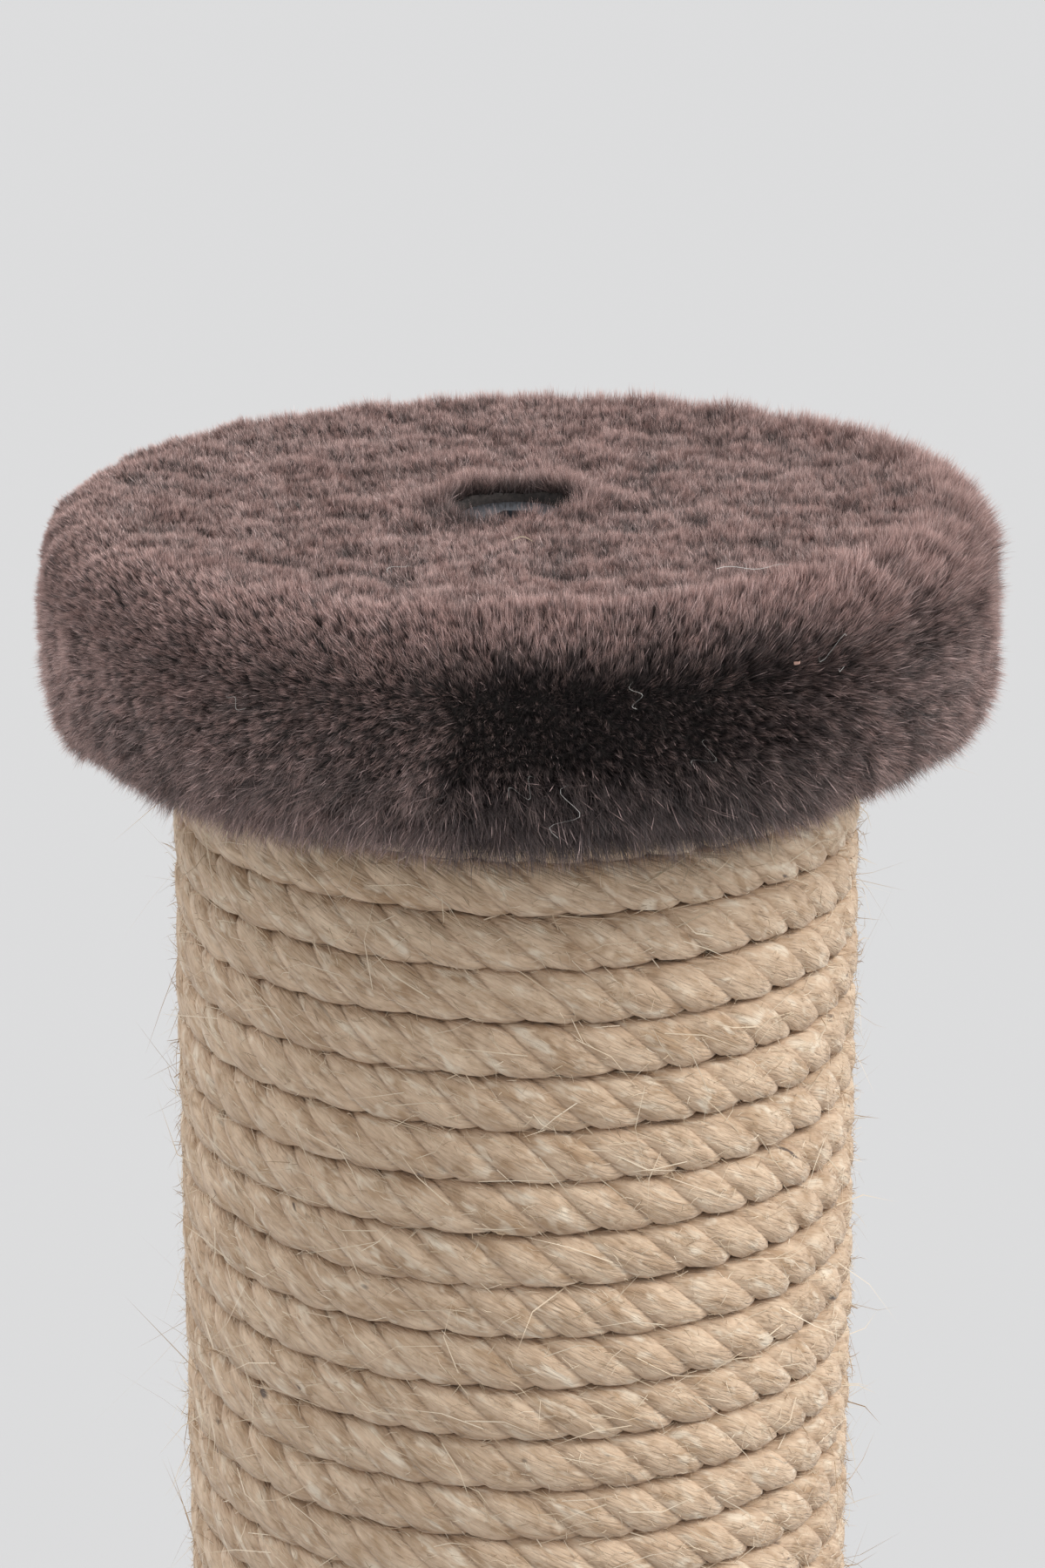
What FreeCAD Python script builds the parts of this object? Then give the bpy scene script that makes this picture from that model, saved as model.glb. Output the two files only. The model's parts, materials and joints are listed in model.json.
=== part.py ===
"""Cat scratching post: a rope-wound cardboard post between a round plush-covered top plate and a wider base.

Millimetres, +Z up. The origin is on the floor, under the post's axis.
Everything is bolted along that axis: one bolt goes down through the top board into a tee nut in the post's
upper plug, and one goes up through the base board into a tee nut in the lower plug.
"""
import FreeCAD
import Part

import math
import os

from FreeCAD import Placement, Rotation, Vector

# Post: a cardboard tube that is plugged at both ends
tube_outer_diameter = 76.0
tube_wall = 3.0
tube_length = 340.0
plug_thickness = 18.0
plug_clearance = 0.1

# Rope: wound round the tube, going down as it turns anticlockwise seen from above. Its section is a polygon,
# whose corners lie on the real rope's diameter
rope_diameter = 6.5
rope_turn_gap = 0.5
rope_bed = 0.3
rope_end_gap = 1.0
rope_start_angle = 100.0
rope_sides = 6
rope_pieces = ("rope_upper", "rope_lower")

# Top plate
top_board_diameter = 112.0
top_board_thickness = 18.0
top_hole_clearance = 0.4
top_hem_clearance = 1.2

# Base plate
base_board_diameter = 320.0
base_board_thickness = 18.0
base_hem_width = 20.0
base_hem_thickness = 3.5
base_footprint_clearance = 1.0
board_edge_chamfer = 1.0

# Plush: backing and pile together. Each plate has a round face, and a band round its edge whose ends meet
plush_thickness = 6.0
plush_backing = 1.2
plush_pressed = 1.5
plush_gap = 0.2
plush_droop = 2.0
plush_hem_rounding = 1.2
plush_rim_share = 0.75
plush_hole_share = 0.4
plush_seam_share = 0.12
band_joint_gap = 0.4
top_joint_angle = 262.8
base_joint_angle = 90.0

# Bolts with a wide flat head, and the washer under the lower one
bolt_diameter = 8.0
bolt_hole_clearance = 0.5
bolt_thread_diameter = 7.2
bolt_thread_clearance = 0.05
bolt_thread_runout = 5.0
bolt_projection = 6.0
bolt_tip_chamfer = 1.0
bolt_head_diameter = 15.6
bolt_head_thickness = 3.0
bolt_head_chamfer = 0.8
bolt_socket_across_flats = 5.0
bolt_socket_depth = 2.2
washer_diameter = 24.0
washer_thickness = 2.0
washer_recess_clearance = 1.0
washer_recess_margin = 1.5

# Tee nuts, pressed into the plugs from inside the post
nut_flange_diameter = 22.0
nut_flange_thickness = 1.5
nut_barrel_diameter = 10.0
nut_barrel_setback = 7.0
nut_prong_count = 4
nut_prong_length = 7.0
nut_prong_width = 4.0

# Nails that hold the plugs in the tube
nail_count = 3
nail_length = 14.0
nail_diameter = 1.8
nail_head_diameter = 4.0
nail_head_thickness = 1.0
nail_sink = 0.3
nail_point_length = 2.5

# Staples that hold the turned-in plush
staple_crown = 10.0
staple_leg = 8.0
staple_wire = 1.0
top_staple_count = 8
base_staple_count = 12

# Feet and their screws
foot_count = 4
foot_clearance = 2.5
foot_diameter = 28.0
foot_taper = 1.0
foot_chamfer = 1.0
foot_ring_inset = 42.0
foot_recess_clearance = 0.6
foot_names = ("foot_back_right", "foot_back_left", "foot_front_left", "foot_front_right")
screw_diameter = 3.5
screw_hole_clearance = 0.3
screw_cover = 5.0
screw_head_diameter = 7.0
screw_head_thickness = 2.2
screw_head_sink = 0.8
screw_head_chamfer = 0.8
screw_point_length = 4.0

cut_overrun = 1.0

# Heights of the stack, from the floor up
foot_height = base_hem_thickness + foot_clearance
foot_ledge_height = screw_head_thickness + screw_head_sink
base_bottom = foot_height
base_top = base_bottom + base_board_thickness
post_bottom = base_top + plush_pressed
post_top = post_bottom + tube_length
top_board_top = post_top + top_board_thickness

# Sizes that pieces share
tube_radius = tube_outer_diameter / 2
plug_radius = tube_radius - tube_wall - plug_clearance
rope_pitch = rope_diameter + rope_turn_gap
rope_centre_radius = tube_radius + rope_bed + rope_diameter / 2
rope_outer_radius = rope_centre_radius + rope_diameter / 2
top_board_radius = top_board_diameter / 2
base_board_radius = base_board_diameter / 2
bolt_hole_radius = bolt_diameter / 2 + bolt_hole_clearance
top_hole_radius = bolt_head_diameter / 2 + top_hole_clearance
top_hem_radius = rope_outer_radius + top_hem_clearance
base_hem_radius = base_board_radius - base_hem_width
washer_recess_radius = washer_diameter / 2 + washer_recess_clearance
washer_recess_depth = washer_thickness + bolt_head_thickness + washer_recess_margin
nut_barrel_length = plug_thickness - nut_barrel_setback
foot_ring_radius = base_board_radius - foot_ring_inset

FULL_TURN = 360.0
UP = Vector(0, 0, 1)
ORIGIN = Vector(0, 0, 0)


def rounded_outline(corners):
    """Closed wire in the XZ plane through (r, z, rounding) corners, with a tangent arc at rounded ones."""
    places = [Vector(r, 0, z) for r, z, _ in corners]
    joins = []
    for i, (_, _, rounding) in enumerate(corners):
        corner = places[i]
        back = (places[i - 1] - corner).normalize()
        ahead = (places[(i + 1) % len(places)] - corner).normalize()
        half = back.getAngle(ahead) / 2
        if not rounding:
            joins.append((corner, None, corner))
            continue
        setback = rounding / math.tan(half)
        bisector = (back + ahead).normalize()
        middle = corner + bisector * (rounding / math.sin(half) - rounding)
        joins.append((corner + back * setback, middle, corner + ahead * setback))
    edges = []
    for i, (start, middle, end) in enumerate(joins):
        if middle is not None:
            edges.append(Part.Arc(start, middle, end).toShape())
        edges.append(Part.LineSegment(end, joins[(i + 1) % len(joins)][0]).toShape())
    return Part.Wire(edges)


def turned(corners):
    """Solid of revolution about Z of a rounded outline."""
    return Part.Face(rounded_outline(corners)).revolve(ORIGIN, UP, FULL_TURN)


def placed(shape, position, axis=UP, angle=0.0):
    """A copy of a shape, turned about an axis through the origin and then moved."""
    copy = shape.copy()
    copy.Placement = Placement(position, Rotation(axis, angle)).multiply(copy.Placement)
    return copy


def around(shape, count, first_angle=0.0):
    """Copies of a shape, evenly spaced about the Z axis."""
    step = FULL_TURN / count
    return [placed(shape, ORIGIN, UP, first_angle + step * i) for i in range(count)]


def upside_down(shape, height):
    """A shape turned over about the X axis and set at a height."""
    return placed(shape, Vector(0, 0, height), Vector(1, 0, 0), FULL_TURN / 2)


# Boards

def board(radius, thickness, bottom):
    """Round board with eased edges and a clearance hole for the bolt."""
    top = bottom + thickness
    return turned([
        (bolt_hole_radius, bottom, 0),
        (radius - board_edge_chamfer, bottom, 0),
        (radius, bottom + board_edge_chamfer, 0),
        (radius, top - board_edge_chamfer, 0),
        (radius - board_edge_chamfer, top, 0),
        (bolt_hole_radius, top, 0),
    ])


def washer_recess():
    """Counterbore from below the base board, deep enough for the washer and the bolt's head."""
    depth = washer_recess_depth + cut_overrun
    return Part.makeCylinder(washer_recess_radius, depth, Vector(0, 0, base_bottom - cut_overrun))


# Plush covers

def plush_face(board_top, board_radius, middle):
    """Round face of a plate's cover, out to the pile of the band, around the outline of its middle."""
    outside = board_radius + plush_thickness
    return turned(middle + [
        (outside, board_top + plush_gap, plush_thickness * plush_seam_share),
        (outside, board_top + plush_thickness, plush_thickness * plush_rim_share),
    ])


def top_face():
    """Face of the top plate, with a hole over the bolt's head."""
    return plush_face(top_board_top, top_board_radius, [
        (top_hole_radius, top_board_top + plush_thickness, plush_thickness * plush_hole_share),
        (top_hole_radius, top_board_top + plush_gap, 0),
    ])


def base_face():
    """Face of the base, pressed flat under the post."""
    footprint = rope_outer_radius + base_footprint_clearance
    return plush_face(base_top, base_board_radius, [
        (footprint, base_top + plush_thickness, plush_thickness * plush_hole_share),
        (footprint, base_top + plush_pressed, 0),
        (bolt_hole_radius, base_top + plush_pressed, 0),
        (bolt_hole_radius, base_top + plush_gap, 0),
    ])


def plush_band(board_bottom, board_top, board_radius, hem_radius, hem_thickness, joint_angle):
    """Band round a board's edge, turned in under it as a hem, with an open joint where its ends meet."""
    inside = board_radius + plush_gap
    outside = board_radius + plush_thickness
    bottom = board_bottom - hem_thickness
    top = board_top - plush_gap
    ring = turned([
        (inside, top, 0),
        (inside, board_bottom - plush_gap, 0),
        (hem_radius, board_bottom - plush_gap, 0),
        (hem_radius, bottom, plush_hem_rounding),
        (outside, bottom, plush_thickness + plush_droop),
        (outside, top, plush_thickness * plush_seam_share),
    ])
    corner = Vector(0, -band_joint_gap / 2, bottom - cut_overrun)
    slit = Part.makeBox(outside + cut_overrun, band_joint_gap, top - bottom + 2 * cut_overrun, corner)
    return ring.cut(placed(slit, ORIGIN, UP, joint_angle))


# Staples

def staple(board_bottom):
    """U of square wire, driven up into a board with its crown pressing on the plush's backing."""
    crown_top = board_bottom - plush_backing
    crown_bottom = crown_top - staple_wire
    leg_top = crown_bottom + staple_leg
    outer = staple_crown / 2
    inner = outer - staple_wire
    outline = [(-outer, crown_bottom), (outer, crown_bottom), (outer, leg_top), (inner, leg_top),
               (inner, crown_top), (-inner, crown_top), (-inner, leg_top), (-outer, leg_top)]
    points = [Vector(-staple_wire / 2, y, z) for y, z in outline]
    return Part.Face(Part.makePolygon(points + points[:1])).extrude(Vector(staple_wire, 0, 0))


def staple_ring(board_bottom, ring_radius, count):
    """Staples evenly spaced on a ring, with their crowns along it."""
    one = placed(staple(board_bottom), Vector(ring_radius, 0, 0))
    return around(one, count, FULL_TURN / count / 2)


# Post

def tube():
    """Cardboard tube, open at both ends."""
    bore = tube_radius - tube_wall
    return turned([
        (bore, post_bottom, 0),
        (tube_radius, post_bottom, 0),
        (tube_radius, post_top, 0),
        (bore, post_top, 0),
    ])


def plug(bottom):
    """Round plug with a clearance hole for the bolt."""
    return turned([
        (bolt_hole_radius, bottom, 0),
        (plug_radius, bottom, 0),
        (plug_radius, bottom + plug_thickness, 0),
        (bolt_hole_radius, bottom + plug_thickness, 0),
    ])


def nail():
    """Flat-headed nail along Z with its point down and the top of its head at zero."""
    shank = nail_diameter / 2
    return turned([
        (0, 0, 0),
        (nail_head_diameter / 2, 0, 0),
        (nail_head_diameter / 2, -nail_head_thickness, 0),
        (shank, -nail_head_thickness, 0),
        (shank, nail_point_length - nail_length, 0),
        (0, -nail_length, 0),
    ])


def nail_ring(shape, height):
    """A nail, or the hole for one, driven into the tube from each side at a height."""
    lying = placed(shape, ORIGIN, Vector(0, 1, 0), FULL_TURN / 4)
    return around(placed(lying, Vector(tube_radius - nail_sink, 0, height)), nail_count)


def nail_hole():
    """The space a nail takes in the tube, open to the outside over its head."""
    mouth = Part.makeCylinder(nail_head_diameter / 2, nail_sink + cut_overrun)
    return nail().fuse(mouth)


# Rope

def rope_point(turn):
    """Place on the rope's centre line, by the angle it has turned through in radians."""
    angle = math.radians(rope_start_angle) + turn
    height = post_top - rope_end_gap - rope_diameter / 2 - rope_pitch * turn / (2 * math.pi)
    return Vector(rope_centre_radius * math.cos(angle), rope_centre_radius * math.sin(angle), height)


def rope_direction(turn):
    """Direction of the rope's centre line at that angle."""
    angle = math.radians(rope_start_angle) + turn
    along = rope_centre_radius
    return Vector(-along * math.sin(angle), along * math.cos(angle), -rope_pitch / (2 * math.pi)).normalize()


def biarc(start, start_direction, end, end_direction):
    """Two arcs that leave one point and reach another in the given directions, and meet smoothly."""
    span = end - start
    both = start_direction + end_direction
    bend = 2 * (1 - start_direction.dot(end_direction))
    reach = (math.sqrt(span.dot(both) ** 2 + bend * span.dot(span)) - span.dot(both)) / bend
    meeting = (start + end + (start_direction - end_direction) * reach) * 0.5
    return [
        arc_under(start, start + start_direction * reach, meeting),
        arc_under(meeting, end - end_direction * reach, end),
    ]


def arc_under(start, peak, end):
    """Arc from start to end that is tangent to the lines from each of them to the peak."""
    chord_middle = (start + end) * 0.5
    half_chord = (end - start).Length / 2
    turn = math.acos(half_chord / (peak - start).Length)
    rise = half_chord * math.tan(turn / 2)
    return Part.Arc(start, chord_middle + (peak - chord_middle).normalize() * rise, end).toShape()


def rope_path(first_turn, last_turn, straight_start, straight_end):
    """Centre line of one length of rope: biarcs of up to half a turn, and straight at its free ends."""
    count = math.ceil((last_turn - first_turn) / math.pi)
    turns = [first_turn + (last_turn - first_turn) * i / count for i in range(count + 1)]
    edges = []
    for a, b in zip(turns, turns[1:]):
        edges += biarc(rope_point(a), rope_direction(a), rope_point(b), rope_direction(b))
    if straight_start:
        start = rope_point(first_turn)
        tail = start - rope_direction(first_turn) * rope_diameter
        edges.insert(0, Part.LineSegment(tail, start).toShape())
    if straight_end:
        end = rope_point(last_turn)
        tail = end + rope_direction(last_turn) * rope_diameter
        edges.append(Part.LineSegment(end, tail).toShape())
    return Part.Wire(edges)


def rope_length(path, direction):
    """Solid of one length of rope along its centre line."""
    start = path.OrderedVertexes[0].Point
    across = direction.cross(UP).normalize() * (rope_diameter / 2)
    turns = [Rotation(direction, FULL_TURN * i / rope_sides) for i in range(rope_sides + 1)]
    section = Part.makePolygon([start + turn.multVec(across) for turn in turns])
    sweep = Part.BRepOffsetAPI.MakePipeShell(path)
    sweep.add(section)
    sweep.build()
    sweep.makeSolid()
    return sweep.shape()


def least_gap(path, turns):
    """Smallest space between one turn of a rope and the next, measured on points of its centre line."""
    points_per_turn = 72
    points = path.discretize(Number=int(turns * points_per_turn))
    near = range(points_per_turn // 2, points_per_turn + points_per_turn // 2)
    spaces = [(points[i + k] - p).Length for i, p in enumerate(points) for k in near if i + k < len(points)]
    return min(spaces) - rope_diameter


def rope_winding():
    """The wound rope as lengths of under two dozen turns each, which meet end to end."""
    climb = tube_length - 2 * rope_end_gap - rope_diameter
    whole = 2 * math.pi * climb / rope_pitch
    each = whole / len(rope_pieces)
    lengths = {}
    for i, name in enumerate(rope_pieces):
        first, last = each * i, each * (i + 1)
        path = rope_path(first, last, i == 0, i == len(rope_pieces) - 1)
        solid = rope_length(path, rope_direction(first))
        section_area = rope_sides * math.sin(2 * math.pi / rope_sides) * rope_diameter ** 2 / 8
        expected = section_area * path.Length
        turns = each / (2 * math.pi)
        print(f"{name}: {turns:.1f} turns, {path.Length / 1000:.2f} m, "
              f"least gap {least_gap(path, turns):.2f} mm, "
              f"volume {solid.Volume / expected:.4f} of section times length")
        lengths[name] = solid
    return lengths


# Bolts, washer and tee nuts

def bolt(grip):
    """Flat-headed bolt with its head above zero, long enough to pass the grip and a tee nut."""
    thread = nut_barrel_length + nut_flange_thickness + bolt_projection + bolt_thread_runout
    length = grip + nut_flange_thickness + bolt_projection
    shank = bolt_diameter / 2
    root = bolt_thread_diameter / 2
    head = bolt_head_diameter / 2
    body = turned([
        (0, bolt_head_thickness, 0),
        (head - bolt_head_chamfer, bolt_head_thickness, 0),
        (head, bolt_head_thickness - bolt_head_chamfer, 0),
        (head, 0, 0),
        (shank, 0, 0),
        (shank, thread - length, 0),
        (root, thread - length, 0),
        (root, bolt_tip_chamfer - length, 0),
        (root - bolt_tip_chamfer, -length, 0),
        (0, -length, 0),
    ])
    corner = bolt_socket_across_flats / math.sqrt(3)
    floor = bolt_head_thickness - bolt_socket_depth
    corners = [Vector(corner * math.cos(math.radians(a)), corner * math.sin(math.radians(a)), floor)
               for a in range(0, 361, 60)]
    socket = Part.Face(Part.makePolygon(corners)).extrude(Vector(0, 0, bolt_socket_depth + cut_overrun))
    return body.cut(socket)


def washer():
    """Flat washer with its upper face at zero."""
    return turned([
        (bolt_hole_radius, -washer_thickness, 0),
        (washer_diameter / 2, -washer_thickness, 0),
        (washer_diameter / 2, 0, 0),
        (bolt_hole_radius, 0, 0),
    ])


def tee_nut():
    """Flange below zero with a threaded barrel and prongs that stand up from it."""
    bore = bolt_thread_diameter / 2 + bolt_thread_clearance
    body = turned([
        (bore, -nut_flange_thickness, 0),
        (nut_flange_diameter / 2, -nut_flange_thickness, 0),
        (nut_flange_diameter / 2, 0, 0),
        (nut_barrel_diameter / 2, 0, 0),
        (nut_barrel_diameter / 2, nut_barrel_length, 0),
        (bore, nut_barrel_length, 0),
    ])
    outside = nut_flange_diameter / 2
    inside = outside - nut_flange_thickness
    half = nut_prong_width / 2
    prong_outline = [(-half, -nut_flange_thickness), (half, -nut_flange_thickness), (half, 0),
                     (0, nut_prong_length), (-half, 0)]
    reach = math.sqrt(outside ** 2 - nut_prong_width ** 2 / 4) - inside
    points = [Vector(inside, y, z) for y, z in prong_outline]
    prong = Part.Face(Part.makePolygon(points + points[:1])).extrude(Vector(reach, 0, 0))
    return body.multiFuse(around(prong, nut_prong_count)).removeSplitter()


# Feet

def foot():
    """Tapered round foot on the floor at the origin, with a recess for its screw's head."""
    hole = screw_diameter / 2 + screw_hole_clearance
    recess = screw_head_diameter / 2 + foot_recess_clearance
    return turned([
        (hole, foot_height, 0),
        (hole, foot_ledge_height, 0),
        (recess, foot_ledge_height, 0),
        (recess, 0, 0),
        (foot_diameter / 2 - foot_taper - foot_chamfer, 0, 0),
        (foot_diameter / 2 - foot_taper, foot_chamfer, 0),
        (foot_diameter / 2, foot_height, 0),
    ])


def foot_screw():
    """Round-headed wood screw that goes up through a foot at the origin."""
    shank = screw_diameter / 2
    head = screw_head_diameter / 2
    head_bottom = foot_ledge_height - screw_head_thickness
    tip = base_top - screw_cover
    return turned([
        (0, head_bottom, 0),
        (head - screw_head_chamfer, head_bottom, 0),
        (head, head_bottom + screw_head_chamfer, 0),
        (head, foot_ledge_height, 0),
        (shank, foot_ledge_height, 0),
        (shank, tip - screw_point_length, 0),
        (0, tip, 0),
    ])


def feet_ring(shape):
    """Copies of a foot or its screw at the four places under the base."""
    return around(placed(shape, Vector(foot_ring_radius, 0, 0)), foot_count, FULL_TURN / foot_count / 2)


# Assembly

def fastenings():
    """The pieces that pierce others: bolts, nuts, nails, staples and screws, each in its place."""
    lower_seat = base_bottom + washer_recess_depth
    top_plug_middle = post_top - plug_thickness / 2
    bottom_plug_middle = post_bottom + plug_thickness / 2
    top_staple_radius = (top_hem_radius + top_board_radius) / 2
    base_staple_radius = (base_hem_radius + base_board_radius) / 2
    lower_grip = base_top - lower_seat + washer_thickness + plush_pressed + plug_thickness
    return {
        "top_bolt": [placed(bolt(top_board_thickness + plug_thickness), Vector(0, 0, top_board_top))],
        "base_bolt": [upside_down(bolt(lower_grip), lower_seat - washer_thickness)],
        "base_washer": [placed(washer(), Vector(0, 0, lower_seat))],
        "top_tee_nut": [placed(tee_nut(), Vector(0, 0, post_top - plug_thickness))],
        "bottom_tee_nut": [upside_down(tee_nut(), post_bottom + plug_thickness)],
        "top_plug_nails": nail_ring(nail(), top_plug_middle),
        "bottom_plug_nails": nail_ring(nail(), bottom_plug_middle),
        "top_cover_staples": staple_ring(post_top, top_staple_radius, top_staple_count),
        "base_cover_staples": staple_ring(base_bottom, base_staple_radius, base_staple_count),
        "foot_screws": feet_ring(foot_screw()),
    }


def assembly():
    """Every piece in place, by its node's name."""
    fixed = fastenings()
    top_board = board(top_board_radius, top_board_thickness, post_top)
    base_board = board(base_board_radius, base_board_thickness, base_bottom).cut(washer_recess())
    top_band = plush_band(post_top, top_board_top, top_board_radius, top_hem_radius,
                          plush_thickness, top_joint_angle)
    base_band = plush_band(base_bottom, base_top, base_board_radius, base_hem_radius,
                           base_hem_thickness, base_joint_angle)
    holes = nail_ring(nail_hole(), post_top - plug_thickness / 2)
    holes += nail_ring(nail_hole(), post_bottom + plug_thickness / 2)
    pieces = {
        "top_plush_face": top_face(),
        "top_plush_band": top_band.cut(fixed["top_cover_staples"]),
        "top_board": top_board.cut(fixed["top_cover_staples"]),
        "post_tube": tube().cut(holes),
        "top_plug": plug(post_top - plug_thickness).cut(fixed["top_plug_nails"] + fixed["top_tee_nut"]),
        "bottom_plug": plug(post_bottom).cut(fixed["bottom_plug_nails"] + fixed["bottom_tee_nut"]),
        "base_board": base_board.cut(fixed["base_cover_staples"] + fixed["foot_screws"]),
        "base_plush_face": base_face(),
        "base_plush_band": base_band.cut(fixed["base_cover_staples"]),
    }
    pieces.update(rope_winding())
    pieces.update(zip(foot_names, feet_ring(foot())))
    pieces.update({name: Part.makeCompound(solids) for name, solids in fixed.items()})
    return pieces


os.makedirs("parts", exist_ok=True)
for name, shape in assembly().items():
    shape.exportStep(f"parts/{name}.step")
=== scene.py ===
"""Cat scratching post: plush pile, laid rope and finishes of the hard parts, in front of a pale floor."""

import json
import math
from collections import namedtuple
from types import SimpleNamespace

import bpy
import numpy as np
from mathutils import Matrix, Vector

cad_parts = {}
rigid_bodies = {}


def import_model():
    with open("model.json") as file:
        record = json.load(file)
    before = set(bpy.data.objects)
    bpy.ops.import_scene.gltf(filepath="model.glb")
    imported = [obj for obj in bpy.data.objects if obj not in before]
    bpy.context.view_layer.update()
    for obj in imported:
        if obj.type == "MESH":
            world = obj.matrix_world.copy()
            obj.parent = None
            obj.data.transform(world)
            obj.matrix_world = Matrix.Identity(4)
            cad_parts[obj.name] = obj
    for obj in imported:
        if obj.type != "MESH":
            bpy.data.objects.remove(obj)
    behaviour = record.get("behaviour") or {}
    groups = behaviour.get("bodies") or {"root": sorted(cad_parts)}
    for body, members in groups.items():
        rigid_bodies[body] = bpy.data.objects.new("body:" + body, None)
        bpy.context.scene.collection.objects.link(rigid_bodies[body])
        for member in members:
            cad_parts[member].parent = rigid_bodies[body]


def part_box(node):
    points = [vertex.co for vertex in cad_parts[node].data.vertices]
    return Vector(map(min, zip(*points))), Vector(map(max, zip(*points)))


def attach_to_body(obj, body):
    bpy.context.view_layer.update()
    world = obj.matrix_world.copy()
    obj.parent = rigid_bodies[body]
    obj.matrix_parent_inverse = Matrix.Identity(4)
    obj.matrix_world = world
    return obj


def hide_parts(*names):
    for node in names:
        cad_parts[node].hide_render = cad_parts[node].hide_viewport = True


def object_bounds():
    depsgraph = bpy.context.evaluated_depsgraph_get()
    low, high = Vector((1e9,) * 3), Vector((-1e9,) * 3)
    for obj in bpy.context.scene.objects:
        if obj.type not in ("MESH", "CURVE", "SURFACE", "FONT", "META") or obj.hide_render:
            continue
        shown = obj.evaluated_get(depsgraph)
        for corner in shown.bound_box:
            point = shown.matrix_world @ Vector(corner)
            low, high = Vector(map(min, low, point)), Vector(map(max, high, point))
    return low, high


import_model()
CAD_BOX = [list(corner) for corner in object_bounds()]

bl_info = {
    "name": "Cat scratching post",
    "version": (1, 0, 0),
    "blender": (4, 5, 0),
    "location": "View3D > Sidebar > Scratching post",
    "description": "Dresses the scratching post in plush and rope and lights it",
    "category": "Object",
}

MM = 0.001
RIGHT, BACK, UP = np.eye(3)[:, None]
BAKE_MAP = "OFBake"
MAP_MARGIN = 0.02
PIECE_LIMIT = 185000

# Post, from the frame
TOP_BOARD = [np.array(corner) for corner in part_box("top_board")]
BASE_BOARD = [np.array(corner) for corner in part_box("base_board")]
PLUSH_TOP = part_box("top_plush_face")[1][2]
ROPE_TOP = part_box("rope_upper")[1][2]
ROPE_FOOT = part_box("rope_lower")[0][2]
ROPE_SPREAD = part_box("rope_upper")[1][0]

# Rope: columns of the grid across one strand, from groove to groove, and the shape of the pressed section
STRAND_COLUMNS = np.array([-1.0, -0.87, -0.55, -0.18, 0.18, 0.55, 0.87])
STRANDS = 3
ROPE_STEP = 1.62 * MM
ROPE_WANDER, RISE_WAVE, OUT_WAVE = 0.16 * MM, 60 * MM, 45 * MM
STRAND_WAVE, SLOW_WAVE, SWAY_WAVE = 14 * MM, 120 * MM, 40 * MM
ROPE_ROUGHNESS, ROUGH_WAVE, COLUMN_GAP = 0.05 * MM, 2.2 * MM, 0.55 * MM
SQUARENESS, SECTION_WIDTH, SECTION_HEIGHT = 3.8, 0.955, 1.06
FREE_SHARE = 0.86
ROPE_MAP_ROWS = 17

# Plush: points along the line of a plate's backing, its corners and its place on the board
FACE_POINTS, ARC_POINTS, SIDE_POINTS, HEM_POINTS = 23, 9, 12, 7
CORNER_RADIUS = 2.5 * MM
BACKING_GAP = 0.2 * MM
HEM_DROP = 0.6 * MM
BAND_INSET = 0.8 * MM
RIM_SHARE = 0.72
PUFF_INSET, PUFF_WIDTH = 5 * MM, 6 * MM
PRESSED_INSET = 8 * MM
LEAST_DROP = 0.3 * MM
TUFT_GATHER = 0.6
ROOT_DEPTH = 0.25 * MM
HAIR_LIFT = 0.3 * MM
TOP_LUMP, BASE_LUMP = 6.5 * MM, 13 * MM

# Stage
FLOOR_REACH = 14.0
CAMERA_ASIDE = 0.87 * MM
SENSOR_WIDTH = 36.0


# Numbers

def rippled(points, wavelength, seed, waves=14):
    """Smooth noise from about -1 to 1: mean of plane cosine waves of about one wavelength in random ways."""
    rng = np.random.default_rng(seed)
    points = np.asarray(points, float).reshape(len(points), -1)
    heading = unit(rng.normal(size=(waves, points.shape[1])))
    pull = 2 * np.pi / (wavelength * rng.uniform(0.7, 1.5, (waves, 1)))
    phase = rng.uniform(0, 2 * np.pi, waves)
    return np.cos(points @ (heading * pull).T + phase).mean(axis=1) * math.sqrt(waves / 2)


def unit(vectors):
    """Vectors divided by their own lengths."""
    return vectors / np.maximum(np.linalg.norm(vectors, axis=-1, keepdims=True), 1e-12)


def level(x, y):
    """Level vectors from their first two parts, either of which may be one number for all."""
    return np.stack(np.broadcast_arrays(x, y, 0.0), axis=1)


def smooth(low, high, x):
    """Cubic step from 0 at low to 1 at high."""
    t = np.clip((np.asarray(x, float) - low) / (high - low), 0, 1)
    return t * t * (3 - 2 * t)


def mixed(parts):
    """Sum of vectors or numbers, each times its own weight."""
    return sum(value * (weight[:, None] if np.ndim(value) == 2 else weight) for value, weight in parts)


def run_along(line):
    """Distance along a line of points at each of them."""
    return np.concatenate([[0], np.cumsum(np.linalg.norm(np.diff(line, axis=0), axis=1))])


def spread(count, seed):
    """Evenly spread pairs in the unit square: multiples of two irrational steps, taken modulo one."""
    rng = np.random.default_rng(seed)
    steps = np.array([0.7548776662466927, 0.5698402909980532])
    return (rng.uniform(0, 1, 2) + np.arange(count)[:, None] * steps) % 1.0


def draw(number, seed):
    """Even random value from 0 to 1 for each whole number, by rounds of shift, exclusive or and product."""
    mix = number.astype(np.uint64) + np.uint64(seed) * np.uint64(0x9E3779B97F4A7C15)
    for shift, factor in ((30, 0xBF58476D1CE4E5B9), (27, 0x94D049BB133111EB)):
        mix = (mix ^ (mix >> np.uint64(shift))) * np.uint64(factor)
    mix = mix ^ (mix >> np.uint64(31))
    return (mix >> np.uint64(40)).astype(float) / 2 ** 24


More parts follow.
